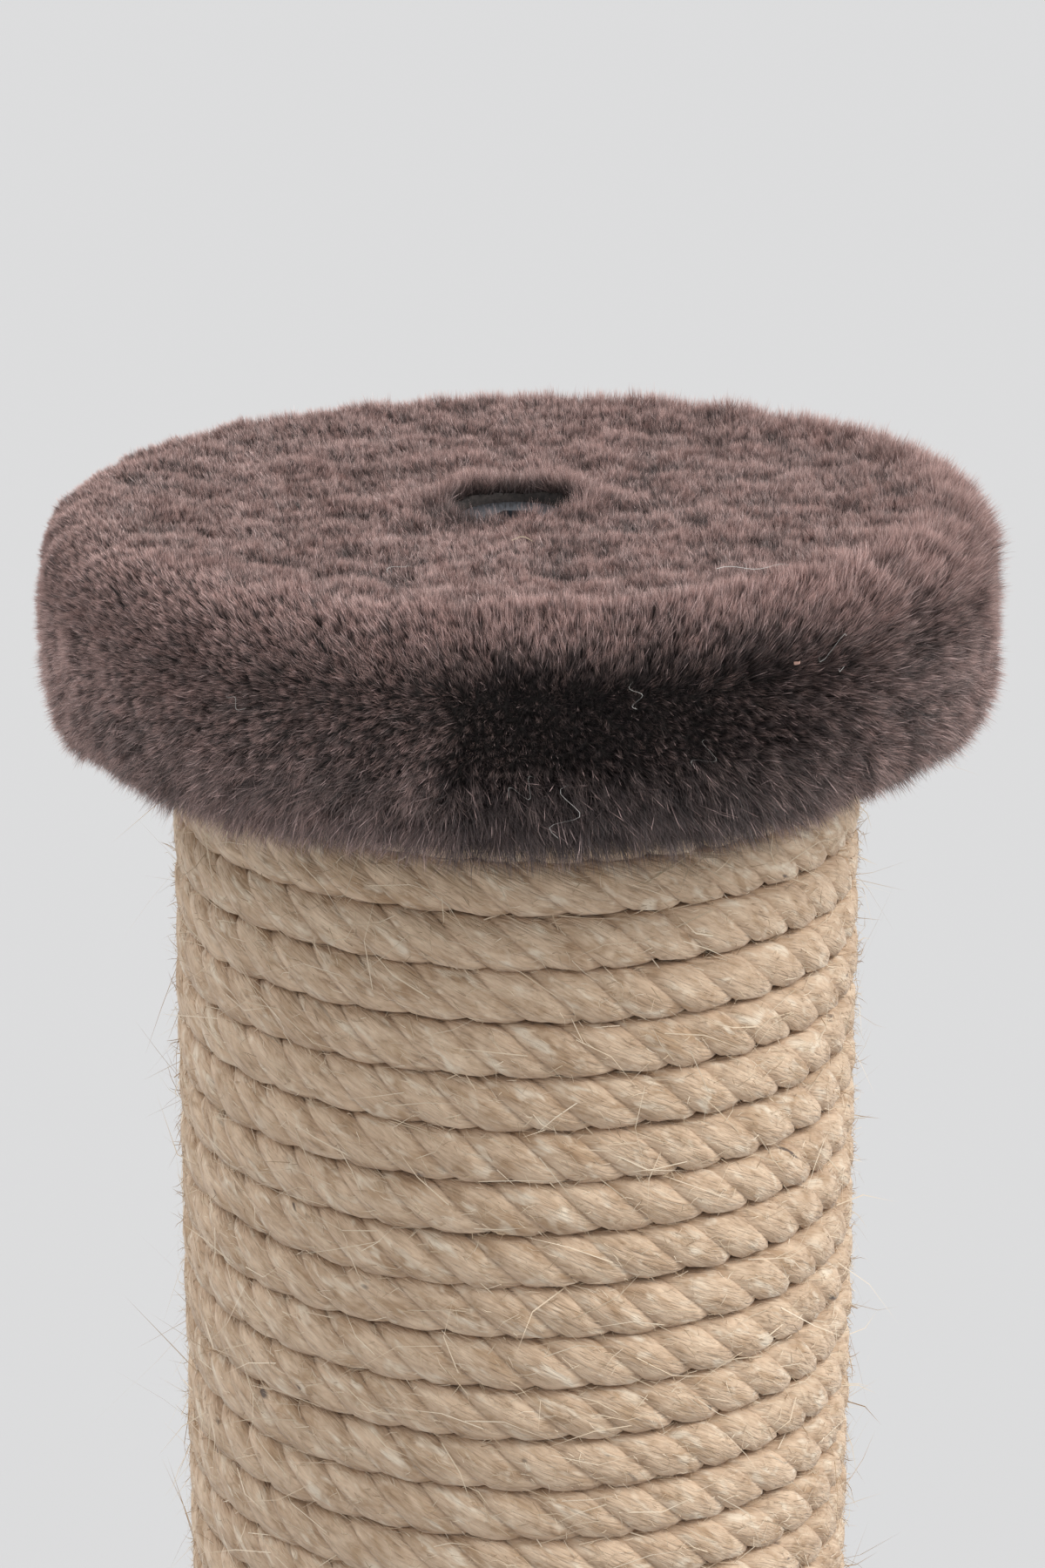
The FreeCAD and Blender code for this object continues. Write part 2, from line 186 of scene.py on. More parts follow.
def nearest_tuft(points, spacing, seed):
    """For each point, the nearest of the jittered centres of a cubic grid and a number for that centre."""
    cell = np.floor(points / spacing).astype(np.int64)
    best = np.full(len(points), np.inf)
    centre = np.zeros_like(points)
    number = np.zeros(len(points), np.int64)
    for step in np.ndindex(3, 3, 3):
        here = cell + np.array(step) - 1
        mark = (here[:, 0] * 4096 + here[:, 1]) * 4096 + here[:, 2] + (1 << 40)
        jitter = np.stack([draw(mark, 3 * seed + k) for k in range(3)], axis=1)
        place = (here + jitter) * spacing
        away = ((points - place) ** 2).sum(axis=1)
        nearer = away < best
        best = np.where(nearer, away, best)
        centre[nearer] = place[nearer]
        number[nearer] = mark[nearer]
    return centre, number


# Meshes

def new_piece(name, vertices, loops, sizes, uv=None, attributes=None, flat=False):
    """Object at the origin from vertices, its faces' corner indices in a row and their corner counts."""
    mesh = bpy.data.meshes.new(name)
    mesh.vertices.add(len(vertices))
    mesh.vertices.foreach_set("co", np.ascontiguousarray(vertices, np.float32).ravel())
    mesh.loops.add(len(loops))
    mesh.loops.foreach_set("vertex_index", np.ascontiguousarray(loops, np.int32))
    starts = np.concatenate([[0], np.cumsum(sizes)[:-1]])
    mesh.polygons.add(len(sizes))
    mesh.polygons.foreach_set("loop_start", starts.astype(np.int32))
    mesh.polygons.foreach_set("loop_total", np.asarray(sizes, np.int32))
    mesh.update(calc_edges=True)
    if uv is not None:
        layer = mesh.uv_layers.new(name=BAKE_MAP)
        layer.data.foreach_set("uv", np.ascontiguousarray(uv, np.float32).ravel())
    for key, values in (attributes or {}).items():
        kind, field = ("FLOAT_VECTOR", "vector") if values.ndim == 2 else ("FLOAT", "value")
        data = mesh.attributes.new(key, kind, "POINT").data
        data.foreach_set(field, np.ascontiguousarray(values, np.float32).ravel())
    mesh.polygons.foreach_set("use_smooth", np.full(len(sizes), not flat))
    if mesh.validate(verbose=False):
        raise RuntimeError(f"{name}: its faces aren't all valid")
    piece = bpy.data.objects.new(name, mesh)
    bpy.context.scene.collection.objects.link(piece)
    return piece


def attach(piece, material, slot, *nodes):
    """Gives a piece its material and sets it on the post in place of some CAD nodes. The slot is not used."""
    piece.data.materials.append(material)
    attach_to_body(piece, "root")
    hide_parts(*nodes)


def ribbons(name, paths, side, width, tone, pointed=0.8):
    """Thin pointed blades: a path's points get a vertex half a width to each side, and the last is the tip.
    The width falls with the square of the way along the blade, and the map runs from root to tip."""
    count, points = paths.shape[:2]
    share = np.linspace(0, 1, points)
    half = 0.5 * width[:, None] * (1 - pointed * share[:-1] ** 2)
    reach = side[:, None, :] * half[..., None]
    body = np.stack([paths[:, :-1] - reach, paths[:, :-1] + reach], axis=2).reshape(count, -1, 3)
    vertices = np.concatenate([body, paths[:, -1:]], axis=1)
    rows = np.arange(points - 2)
    quads = np.stack([2 * rows, 2 * rows + 1, 2 * rows + 3, 2 * rows + 2], axis=1).ravel()
    last = 2 * (points - 2)
    corners = np.concatenate([quads, [last, last + 1, last + 2]])
    loops = (np.arange(count)[:, None] * vertices.shape[1] + corners).ravel()
    sizes = np.tile(np.array([4] * (points - 2) + [3]), count)
    height = np.append(np.repeat(share[:-1], 2), 1.0)
    across = np.append(np.tile([-0.008, 0.008], points - 1), 0.0)
    u = MAP_MARGIN + (1 - 2 * MAP_MARGIN) * tone[:, None] + across[corners]
    v = np.broadcast_to(MAP_MARGIN + (1 - 2 * MAP_MARGIN) * height[corners], u.shape)
    uv = np.stack([u, v], axis=-1).reshape(-1, 2)
    return new_piece(name, vertices.reshape(-1, 3), loops, sizes, uv=uv)


def corner_map(*corners):
    """Map of a grid of quads from the pair of arrays that each of their corners has."""
    return np.stack([np.stack(pair, axis=-1) for pair in corners], axis=2)


def closed_grid(name, grid):
    """Ring-shaped surface through a grid of points that closes on itself both ways, its map laid on the grid.
    The second way runs anticlockwise about the ring's section, seen along the first, so faces point out."""
    steps, count = grid.shape[:2]
    i, j = np.meshgrid(np.arange(steps), np.arange(count), indexing="ij")
    i2, j2 = (i + 1) % steps, (j + 1) % count
    quads = np.stack([i * count + j, i2 * count + j, i2 * count + j2, i * count + j2], axis=-1)
    uv = corner_map((i, j), (i + 1, j), (i + 1, j + 1), (i, j + 1)) / np.array([steps, count])
    sizes = np.full(steps * count, 4)
    return new_piece(name, grid.reshape(-1, 3), quads.ravel(), sizes, uv=uv.reshape(-1, 2))


def turned(line, steps):
    """Grid of points from a line of (radius, height) points turned about the post's axis."""
    angle = np.linspace(0, 2 * np.pi, steps, endpoint=False)[:, None]
    radius, height = line[:, 0], np.broadcast_to(line[:, 1], (steps, len(line)))
    return np.stack([np.cos(angle) * radius, np.sin(angle) * radius, height], axis=-1)


# Shader nodes

class Nodes:
    """Adds nodes to a tree and joins them up. Colours are given without their alpha."""

    def __init__(self, tree):
        self.tree = tree

    def add(self, kind, **settings):
        node = self.tree.nodes.new(kind)
        for key, value in settings.items():
            setattr(node, key, value)
        return node

    def fill(self, socket, value):
        if isinstance(value, bpy.types.NodeSocket):
            self.tree.links.new(value, socket)
        else:
            socket.default_value = (*value, 1.0) if socket.type == "RGBA" else value

    def set(self, node, **values):
        for key, value in values.items():
            self.fill(node.inputs[key.replace("_", " ")], value)
        return node.outputs

    def make(self, kind, **values):
        return self.set(self.add("ShaderNode" + kind), **values)

    def place(self):
        return self.make("TexCoord")["Object"]

    def attribute(self, name, output):
        return self.add("ShaderNodeAttribute", attribute_name=name).outputs[output]

    def map_axes(self):
        parts = self.make("SeparateXYZ", Vector=self.add("ShaderNodeUVMap", uv_map=BAKE_MAP).outputs["UV"])
        return parts["X"], parts["Y"]

    def math(self, operation, a, b):
        node = self.add("ShaderNodeMath", operation=operation)
        self.fill(node.inputs[0], a)
        self.fill(node.inputs[1], b)
        return node.outputs[0]

    def times(self, a, b):
        return self.math("MULTIPLY", a, b)

    def stretched(self, vector, scale):
        return self.make("Mapping", Vector=vector, Scale=scale)["Vector"]

    def noise(self, vector, scale, detail=3.0, roughness=0.55, distortion=0.0):
        if isinstance(scale, tuple):
            vector, scale = self.stretched(vector, scale), 1.0
        return self.make("TexNoise", Vector=vector, Scale=scale, Detail=detail, Roughness=roughness,
                         Distortion=distortion)["Fac"]

    def ramp(self, value, *stops):
        node = self.add("ShaderNodeValToRGB")
        elements = node.color_ramp.elements
        while len(elements) < len(stops):
            elements.new(0.5)
        for element, (place, colour) in zip(elements, stops):
            element.position = place
            element.color = (*colour, 1.0)
        self.fill(node.inputs[0], value)
        return node.outputs["Color"]

    def band(self, value, low, high, out_low=0.0, out_high=1.0):
        return self.make("MapRange", Value=value, From_Min=low, From_Max=high, To_Min=out_low,
                         To_Max=out_high)["Result"]

    def mix(self, share, a, b, blend="MIX"):
        node = self.add("ShaderNodeMix", data_type="RGBA", blend_type=blend)
        for index, value in ((0, share), (6, a), (7, b)):
            self.fill(node.inputs[index], value)
        return node.outputs[2]

    def bump(self, height, distance):
        return self.make("Bump", Height=height, Distance=distance, Strength=1.0)["Normal"]

    def finish(self, **values):
        self.set(self.shader, **values)
        return self.material


def use_group(nodes, name, wire, vector):
    """Outputs of a shared node group that turns a vector into values. It is made on its first use: wire gets
    its node adder and its vector, and gives its values by name."""
    tree = bpy.data.node_groups.get(name)
    if tree is None:
        tree = bpy.data.node_groups.new(name, "ShaderNodeTree")
        tree.interface.new_socket("Vector", in_out="INPUT", socket_type="NodeSocketVector")
        inside = Nodes(tree)
        values = wire(inside, inside.add("NodeGroupInput").outputs["Vector"])
        for label in values:
            tree.interface.new_socket(label, in_out="OUTPUT", socket_type="NodeSocketFloat")
        end = inside.add("NodeGroupOutput")
        for label, value in values.items():
            inside.fill(end.inputs[label], value)
    return nodes.set(nodes.add("ShaderNodeGroup", node_tree=tree), Vector=vector)


def matted_fibres(nodes, vector):
    """On strand coordinates, along the rope first: streaks of three sizes drawn out along the fibres, small
    bright flecks, partly pale fibres and partly painted highlights, larger mottling and a few dark specks."""
    fine = nodes.noise(vector, (420, 3000, 3000), 2.0, 0.6, 0.3)
    middle = nodes.noise(vector, (300, 1300, 1300), 2.0, 0.6, 0.6)
    coarse = nodes.noise(vector, (190, 520, 520), 2.0, 0.6, 0.5)
    streaks = nodes.math("ADD", nodes.times(fine, 0.34), nodes.times(middle, 0.33))
    return {"Streaks": nodes.math("ADD", streaks, nodes.times(coarse, 0.33)),
            "Flecks": nodes.band(nodes.noise(vector, (330, 680, 680), 2.0, 0.5, 0.4), 0.56, 0.72),
            "Mottle": nodes.noise(vector, (240, 460, 460), 3.0, 0.65, 0.6),
            "Specks": nodes.band(nodes.noise(vector, (170, 420, 420), 1.0, 0.5, 0.8), 0.76, 0.82)}


def wear_and_dust(nodes, vector):
    """On Object coordinates: a broad soft cloud and small specks, both from 0 to 1."""
    return {"Cloud": nodes.noise(vector, 35.0, 4.0, 0.6),
            "Specks": nodes.band(nodes.noise(vector, 900.0, 2.0, 0.5), 0.58, 0.72)}


def new_material(name):
    """Node adder of a new material, which knows the material and its Principled shader."""
    material = bpy.data.materials.new(name)
    material.use_nodes = True
    nodes = Nodes(material.node_tree)
    nodes.material = material
    nodes.shader = next(node for node in nodes.tree.nodes if node.type == "BSDF_PRINCIPLED")
    return nodes


# Properties

def size_property(name, description, default):
    return bpy.props.FloatProperty(
        name=name, description=description, default=default, subtype="DISTANCE", unit="LENGTH")


def angle_property(name, description, degrees):
    return bpy.props.FloatProperty(
        name=name, description=description, default=math.radians(degrees), subtype="ANGLE", unit="ROTATION")


def colour_property(name, description, default):
    return bpy.props.FloatVectorProperty(
        name=name, description=description, default=default, subtype="COLOR", size=3)


def count_property(name, description, default):
    return bpy.props.IntProperty(name=name, description=description, default=default)


class PlushSettings(bpy.types.PropertyGroup):
    pile: size_property("Pile length", "Length of the pile's free fibres", 2.6 * MM)
    backing: size_property("Backing", "Thickness of the backing and the dense foot of the pile", 3.6 * MM)
    top_fibres: count_property("Top fibres", "Fibres on the top plate", 900000)
    base_fibres: count_property("Base fibres", "Fibres on the base", 330000)
    fibre_width: size_property("Fibre width", "Width of a fibre at its root", 0.10 * MM)
    joint_angle: angle_property("Joint", "Angle about the post where the top band's ends meet", 262.8)
    # The root colour, and less the middle colour, is painted shade deep in the pile
    root_shade_colour: colour_property("Root colour", "Colour deep in the pile", (0.010, 0.008, 0.0075))
    middle_colour: colour_property("Middle colour", "Colour half way up the pile", (0.085, 0.064, 0.060))
    tip_colour: colour_property("Tip colour", "Colour of the fibres' tips", (0.40, 0.292, 0.269))


class RopeSettings(bpy.types.PropertyGroup):
    radius: size_property("Rope radius", "Centre line to the crown of a strand", 3.52 * MM)
    groove: size_property("Groove", "Depth of the grooves between the strands", 0.74 * MM)
    lay: size_property("Lay length", "Length in which a strand goes once round the rope", 20.4 * MM)
    pitch: size_property("Pitch", "Height of one turn of the winding", 7.0 * MM)
    thickness: size_property("Nominal thickness", "Diameter of the rope in the CAD model", 6.5 * MM)
    start: angle_property("Start angle", "Angle about the post where the rope begins at the top", 100.0)
    stray_fibres: count_property("Stray fibres", "Loose fibres on each length", 42000)
    light: colour_property("Light fibre", "Colour of the bleached fibres", (0.70, 0.545, 0.395))
    middle: colour_property("Fibre", "Main colour of the rope", (0.58, 0.425, 0.295))
    dark: colour_property("Dark fibre", "Colour of the dark fibres", (0.36, 0.245, 0.155))


class StageSettings(bpy.types.PropertyGroup):
    floor: colour_property("Floor", "Colour of the floor", (0.50, 0.50, 0.502))
    distance: size_property("Camera distance", "Camera to the post's axis, along the floor", 0.569)
    rise: size_property("Camera rise", "Camera above the plush's top", 0.1418)
    tilt: angle_property("Camera tilt", "Angle of the view below the horizon", 17.64)
    roll: angle_property("Camera roll", "Turn of the camera about its view", -0.2)
    lens: bpy.props.FloatProperty(name="Lens", description="Focal length of the camera", default=105.0)


# Rope

def rope_material(settings):
    """Jute: short streaks along the fibres with pale flecks, partly bleached fibres and partly painted
    highlights, and painted shade, browner, in the creases.
    """
    nodes = new_material("Jute rope")
    fibre = use_group(nodes, "Matted fibres", matted_fibres, nodes.attribute("strand", "Vector"))
    cloud = use_group(nodes, "Wear and dust", wear_and_dust, nodes.place())["Cloud"]
    crease = nodes.band(nodes.attribute("crease", "Fac"), 0.1, 1.0, 0.0, 0.58)
    streaks = fibre["Streaks"]
    colour = nodes.ramp(streaks, (0.32, settings.dark), (0.47, settings.middle), (0.63, settings.light))
    colour = nodes.mix(nodes.band(cloud, 0.35, 0.7, 0.0, 0.3), colour, settings.middle)
    mottle = nodes.ramp(
        fibre["Mottle"], (0.33, (0.76, 0.69, 0.61)), (0.5, (1.0, 0.99, 0.98)), (0.66, (1.16, 1.17, 1.18)))
    colour = nodes.mix(1.0, colour, mottle, "MULTIPLY")
    # Pale flecks: partly pale fibres and partly painted highlights
    colour = nodes.mix(nodes.times(fibre["Flecks"], 0.75), colour, (0.84, 0.73, 0.58))
    # Painted shade: darker brown in the grooves between strands, in the creases between turns and on the side
    # against the post
    colour = nodes.mix(crease, colour, (0.45, 0.30, 0.195))
    colour = nodes.mix(nodes.times(fibre["Specks"], 0.85), colour, (0.07, 0.05, 0.045))
    return nodes.finish(Base_Color=colour, Roughness=0.72, Sheen_Weight=0.15, Specular_IOR_Level=0.3,
                        Normal=nodes.bump(streaks, 0.9 * MM))


def stray_material():
    """Loose jute fibres, paler towards their tips and different from fibre to fibre."""
    nodes = new_material("Loose jute fibre")
    tone, height = nodes.map_axes()
    colour = nodes.ramp(
        tone, (0.0, (0.30, 0.20, 0.12)), (0.55, (0.55, 0.42, 0.28)), (1.0, (0.82, 0.70, 0.54)))
    colour = nodes.mix(nodes.band(height, 0.4, 1.0, 0.0, 0.4), colour, (0.80, 0.69, 0.53))
    return nodes.finish(Base_Color=colour, Roughness=0.5)


def rope_line(settings, turn):
    """Centre line of the winding by the angle turned: a helix that sinks one pitch a turn and wanders a bit.
    Also gives the outward and upward directions across the rope, the direction and the run along it."""
    centre_radius = ROPE_SPREAD - settings.thickness / 2
    sink = settings.pitch / (2 * np.pi)
    angle = settings.start + turn
    run = turn * math.hypot(centre_radius, sink)
    rise = ROPE_WANDER * rippled(run, RISE_WAVE, 31)
    out = ROPE_WANDER * rippled(run, OUT_WAVE, 32)
    flat = level(np.cos(angle), np.sin(angle))
    line = flat * (centre_radius + out)[:, None]
    line[:, 2] = ROPE_TOP - settings.thickness / 2 - sink * turn + rise
    along = unit(level(-np.sin(angle), np.cos(angle)) - UP * sink / centre_radius)
    return line, flat, np.cross(flat, along), along, run


def pressed_section(settings, reach, theta):
    """Outward and upward parts of a point of the section: fuller on its diagonals, as a superellipse is, and
    eased off half a pitch from its centre, where the turns press on each other."""
    half = settings.pitch / 2
    free, pressed = FREE_SHARE * half, (1 - FREE_SHARE) * half
    c, s = np.cos(theta), np.sin(theta)
    fuller = (np.abs(c) ** SQUARENESS + np.abs(s) ** SQUARENESS) ** (-1 / SQUARENESS)
    outward = SECTION_WIDTH * reach * fuller * c
    upward = SECTION_HEIGHT * reach * fuller * s
    over = np.maximum(np.abs(upward) - free, 0)
    return outward, np.sign(upward) * (np.minimum(np.abs(upward), free) + pressed * np.tanh(over / pressed))


def rope_faces(count, columns):
    """Corners, corner counts and map of a tube of rings with a fan on each end. The tube's map is cut into
    rows that lie one above the other, and the fans share a corner above them."""
    column = np.arange(columns)
    i, j = np.meshgrid(np.arange(count - 1), column, indexing="ij")
    j2 = (j + 1) % columns
    ring, after = i * columns, (i + 1) * columns
    quads = np.stack([ring + j, ring + j2, after + j2, after + j], axis=-1)
    per_row = math.ceil((count - 1) / ROPE_MAP_ROWS)
    row, place = i // per_row, i % per_row
    u0, u1 = place / per_row, (place + 1) / per_row
    v0, v1 = ((row + 0.02 + 0.94 * edge / columns) / (ROPE_MAP_ROWS + 1) for edge in (j, j + 1))
    tube_map = corner_map((u0, v0), (u0, v1), (u1, v1), (u1, v0))
    following, middle = (column + 1) % columns, np.full(columns, count * columns)
    last = (count - 1) * columns
    fans = [np.stack([following, column, middle], axis=1),
            np.stack([last + column, last + following, middle + 1], axis=1)]
    fan_map = np.tile(np.array([[0.1, 0.97], [0.2, 0.97], [0.15, 0.99]]), (2 * columns, 1))
    loops = np.concatenate([quads.ravel(), *(fan.ravel() for fan in fans)])
    sizes = np.concatenate([np.full(i.size, 4), np.full(2 * columns, 3)])
    return loops, sizes, np.concatenate([tube_map.reshape(-1, 2), fan_map])


def rope_length(name, settings, first, last):
    """One length of laid rope: the three-lobed section carried along the winding, turning once in each lay
    length. The grid's columns follow the strands and crowd beside the grooves between them, which stay sharp.
    A strand falls off from its crown to its groove with the fourth power of the place across it."""
    count = int((last - first) * ROPE_SPREAD / ROPE_STEP)
    line, outward, upward, _, run = rope_line(settings, np.linspace(first, last, count))
    share = np.tile(STRAND_COLUMNS, STRANDS)
    column = np.arange(len(share))
    number = column // len(STRAND_COLUMNS)
    around = 2 * np.pi / STRANDS * (number + (share + 1) / 2)
    far = run[:, None]
    own = np.stack([rippled(far, STRAND_WAVE, 50 + k) for k in range(STRANDS)], axis=1)[:, number]
    slow = rippled(far, SLOW_WAVE, 57)[:, None]
    sway = 0.12 * rippled(far, SWAY_WAVE, 58)[:, None]
    radius = (settings.radius - settings.groove * share ** 4) * (1 + 0.028 * own + 0.014 * slow)
    spots = np.stack(np.broadcast_arrays(far / 4, column * COLUMN_GAP), axis=-1).reshape(-1, 2)
    radius = radius + ROPE_ROUGHNESS * rippled(spots, ROUGH_WAVE, 59).reshape(radius.shape)
    laid = 2 * np.pi * far / settings.lay
    theta = around - laid + sway
    out, rise = pressed_section(settings, radius, theta)
    tube = line[:, None] + outward[:, None] * out[..., None] + upward[:, None] * rise[..., None]
    # Painted shade mask: grooves between strands, creases where the turns press together and the side facing
    # the post
    between = smooth(FREE_SHARE, 0.99, np.abs(rise) / (settings.pitch / 2))
    inner = smooth(0.2, -0.4, np.cos(theta))
    crease = np.clip(np.maximum(np.maximum(share ** 14, 0.7 * between), inner), 0, 1)
    twist = around - 0.55 * laid
    turns = settings.radius * np.cos(twist), settings.radius * np.sin(twist)
    strand = np.stack(np.broadcast_arrays(far, *turns), axis=-1)
    ends = [0, -1]
    vertices = np.concatenate([tube.reshape(-1, 3), line[ends]])
    strand = np.concatenate([strand.reshape(-1, 3), level(run[ends], 0)])
    crease = np.concatenate([crease.ravel(), [0.6, 0.6]])
    loops, sizes, uv = rope_faces(count, len(share))
    return new_piece(name, vertices, loops, sizes, uv=uv, attributes={"strand": strand, "crease": crease})


def rope_strays(name, settings, first, last, seed):
    """Loose fibres: short fuzz that leaves the rope's surface at a slant and curls, and some long strays. A
    fibre runs along its heading, rises and falls off with the square of the way, and bends aside."""
    count = settings.stray_fibres
    rng = np.random.default_rng(seed)
    turn = np.sort(rng.uniform(first, last, count))
    line, outward, upward, along, _ = rope_line(settings, turn)
    theta = rng.normal(0, 0.8, count)
    across = outward * np.cos(theta)[:, None] + upward * np.sin(theta)[:, None]
    around = upward * np.cos(theta)[:, None] - outward * np.sin(theta)[:, None]
    long = rng.uniform(size=count) < 0.05
    length = np.where(long, rng.uniform(6, 13, count), 0.5 + rng.gamma(2.5, 0.5, count)) * MM
    way = np.where(rng.uniform(size=count) < 0.5, 1.0, -1.0)
    slant = rng.normal(0.4, 0.7, count)
    heading = unit(along - around * slant[:, None]) * way[:, None]
    lift = np.where(long, rng.uniform(0.02, 0.26, count), rng.gamma(1.5, 0.26, count))
    out, rise = pressed_section(settings, 0.96 * settings.radius, theta)
    root = line + outward * out[:, None] + upward * rise[:, None]
    curl = rng.normal(0, 0.45, count) * np.where(long, 1.5, 1.0)
    aside = unit(np.cross(heading, across))
    t = np.linspace(0, 1, 3)[None, :, None]
    far = length[:, None, None]
    bend = far * far / (2 * (ROPE_SPREAD + settings.radius)) * t ** 2
    paths = root[:, None] + heading[:, None] * far * t - outward[:, None] * bend * 0.5
    paths = paths + across[:, None] * (lift[:, None, None] * far * (t - 0.35 * t ** 2))
    paths = paths + (aside * curl[:, None])[:, None] * far * t ** 2
    side = unit(np.cross(heading, across) + across * rng.normal(0, 0.6, count)[:, None])
    width = np.where(long, rng.uniform(0.10, 0.18, count), rng.uniform(0.06, 0.12, count)) * MM
    tone = np.where(long, rng.uniform(0.6, 1.0, count), rng.uniform(0, 1, count) ** 0.8)
    return ribbons(name, paths, side, width, tone)


class SCRATCHER_OT_rope(bpy.types.Operator):
    """Winds the laid rope and its loose fibres round the post"""
    bl_idname = "scratcher.rope"
    bl_label = "Rope"

    def execute(self, context):
        settings = context.scene.scratcher_rope
        whole = 2 * math.pi * (ROPE_TOP - ROPE_FOOT - settings.thickness) / settings.pitch
        jute, loose = rope_material(settings), stray_material()
        for index, name in enumerate(("rope_upper", "rope_lower")):
            first, last = whole * index / 2, whole * (index + 1) / 2
            attach(rope_length(f"{name}_laid", settings, first, last), jute, "jute", name)
            strays = rope_strays(f"{name}_loose_fibres", settings, first, last, 71 + index)
            attach(strays, loose, "jute", name)
        return {"FINISHED"}


# Plush

Roots = namedtuple("Roots", "position normal down about angle place")
# The shade is the tufts' painted light and shade, and glints the share of fibres painted as highlights
Lie = namedtuple("Lie", "heading length disorder shade contrast glints")

# What differs between the plates: no pile inside the bare radius, and a share of it on the turned-in hem
TOP_PLATE = SimpleNamespace(
    name="top", board=TOP_BOARD, hem_radius=46.5 * MM, hole_radius=9.0 * MM, lump=TOP_LUMP, puff=0.8 * MM,
    steps=240, bare=0.0, hem_share=0.3, widening=1.0, tuft=0.85 * MM, floor=0.0, root_seed=3, pile_seed=20)
BASE_PLATE = SimpleNamespace(
    name="base", board=BASE_BOARD, hem_radius=141 * MM, hole_radius=8 * MM, lump=BASE_LUMP, puff=0.5 * MM,
    steps=320, bare=ROPE_SPREAD - 2 * MM, hem_share=0.5, widening=2.6, tuft=2.4 * MM, floor=2.8 * MM,
    root_seed=4, pile_seed=30)


def chosen(rows, mask):
    """The rows of roots or of their lie that a mask picks."""
    return type(rows)(*(array[mask] for array in rows))


def plush_material(name, settings):
    """Pile: dark at the root as painted shade and paler to the tip, with each tuft's tone and painted light
    from the map's first axis.
    """
    nodes = new_material(name)
    shade, height = nodes.map_axes()
    colour = nodes.ramp(
        height, (0.0, settings.root_shade_colour), (0.5, settings.middle_colour), (1.0, settings.tip_colour))
    # Tone by the first axis: the tufts' painted light and shade, with painted glints at its top
    tone = nodes.ramp(shade, (0.0, (0.42, 0.45, 0.48)), (0.5, (1.0, 1.0, 0.99)), (0.9, (2.2, 2.02, 1.97)),
                      (0.95, (3.1, 3.1, 3.15)), (1.0, (4.4, 4.5, 4.6)))
    colour = nodes.mix(1.0, colour, tone, "MULTIPLY")
    return nodes.finish(Base_Color=colour, Roughness=0.42, Specular_IOR_Level=0.5)


def shaded_backing_material(name):
    """Backing with the dense foot of the pile, nearly black as painted shade deep in the pile, with a fine
    grain.
    """
    nodes = new_material(name)
    grain = nodes.noise(nodes.place(), 1400.0, 2.0)
    # Near black: painted shade of the deep pile
    colour = nodes.ramp(grain, (0.3, (0.014, 0.011, 0.010)), (0.7, (0.038, 0.030, 0.027)))
    return nodes.finish(Base_Color=colour, Normal=nodes.bump(grain, 0.2 * MM), Roughness=0.9)


def plate_line(plate):
    """Line of a plate's backing in (radius, height), from the hole in its face over its rim and down to its
    hem: straight runs with quarter circles at the corners."""
    low, high = plate.board
    outer, top, under = high[0] + BACKING_GAP, high[2] + BACKING_GAP, low[2] - HEM_DROP
    inset, rim, foot = outer - CORNER_RADIUS, top - CORNER_RADIUS, under + CORNER_RADIUS
    turn = np.linspace(0, np.pi / 2, ARC_POINTS)
    c, s = CORNER_RADIUS * np.cos(turn), CORNER_RADIUS * np.sin(turn)
    across = np.linspace(plate.hole_radius, inset, FACE_POINTS + 1)[:-1]
    down = np.linspace(rim, foot, SIDE_POINTS + 2)[1:-1]
    back = np.linspace(inset, plate.hem_radius, HEM_POINTS + 1)[1:]
    stretches = (across, top), (inset + s, rim + c), (outer, down), (inset + c, foot - s), (back, under)
    return np.concatenate([np.stack(np.broadcast_arrays(*stretch), axis=1) for stretch in stretches])


def rooted(line, run, start, count, seed):
    """Roots spread evenly over a turned line from a start on its run: positions, outward normals, tangents
    down the line and round the post, angles and runs. Equal areas get equal numbers of roots."""
    pairs = spread(count, seed)
    fine = np.linspace(start, run[-1], 800)
    radius = np.interp(fine, run, line[:, 0])
    filled = np.concatenate([[0], np.cumsum((radius[1:] + radius[:-1]) / 2)])
    place = np.interp(pairs[:, 0] * filled[-1], filled, fine)
    angle = 2 * np.pi * pairs[:, 1]
    r, z = (np.interp(place, run, line[:, k]) for k in (0, 1))
    ahead = unit(np.gradient(line, run, axis=0))
    ahead = unit(np.stack([np.interp(place, run, ahead[:, k]) for k in (0, 1)], axis=1))
    c, s = np.cos(angle), np.sin(angle)
    position = np.stack([r * c, r * s, z], axis=1)
    normal = np.stack([-ahead[:, 1] * c, -ahead[:, 1] * s, ahead[:, 0]], axis=1)
    down = np.stack([ahead[:, 0] * c, ahead[:, 0] * s, ahead[:, 1]], axis=1)
    return Roots(position, normal, down, level(-s, c), angle, place)


def thinned(roots, share):
    """The roots with only a share of those on the turned-in hem, which faces down."""
    lucky = np.random.default_rng(9).uniform(size=len(roots.place)) < share
    return chosen(roots, (roots.normal[:, 2] > -0.7) | lucky)


def relief(points, size):
    """Height of the soft lumps in a plush of the given lump size, above or below its even surface."""
    return MM * (0.35 * rippled(points, 2.6 * size, 11) + 0.50 * rippled(points, size, 12)
                 + 0.20 * rippled(points, 0.45 * size, 13))


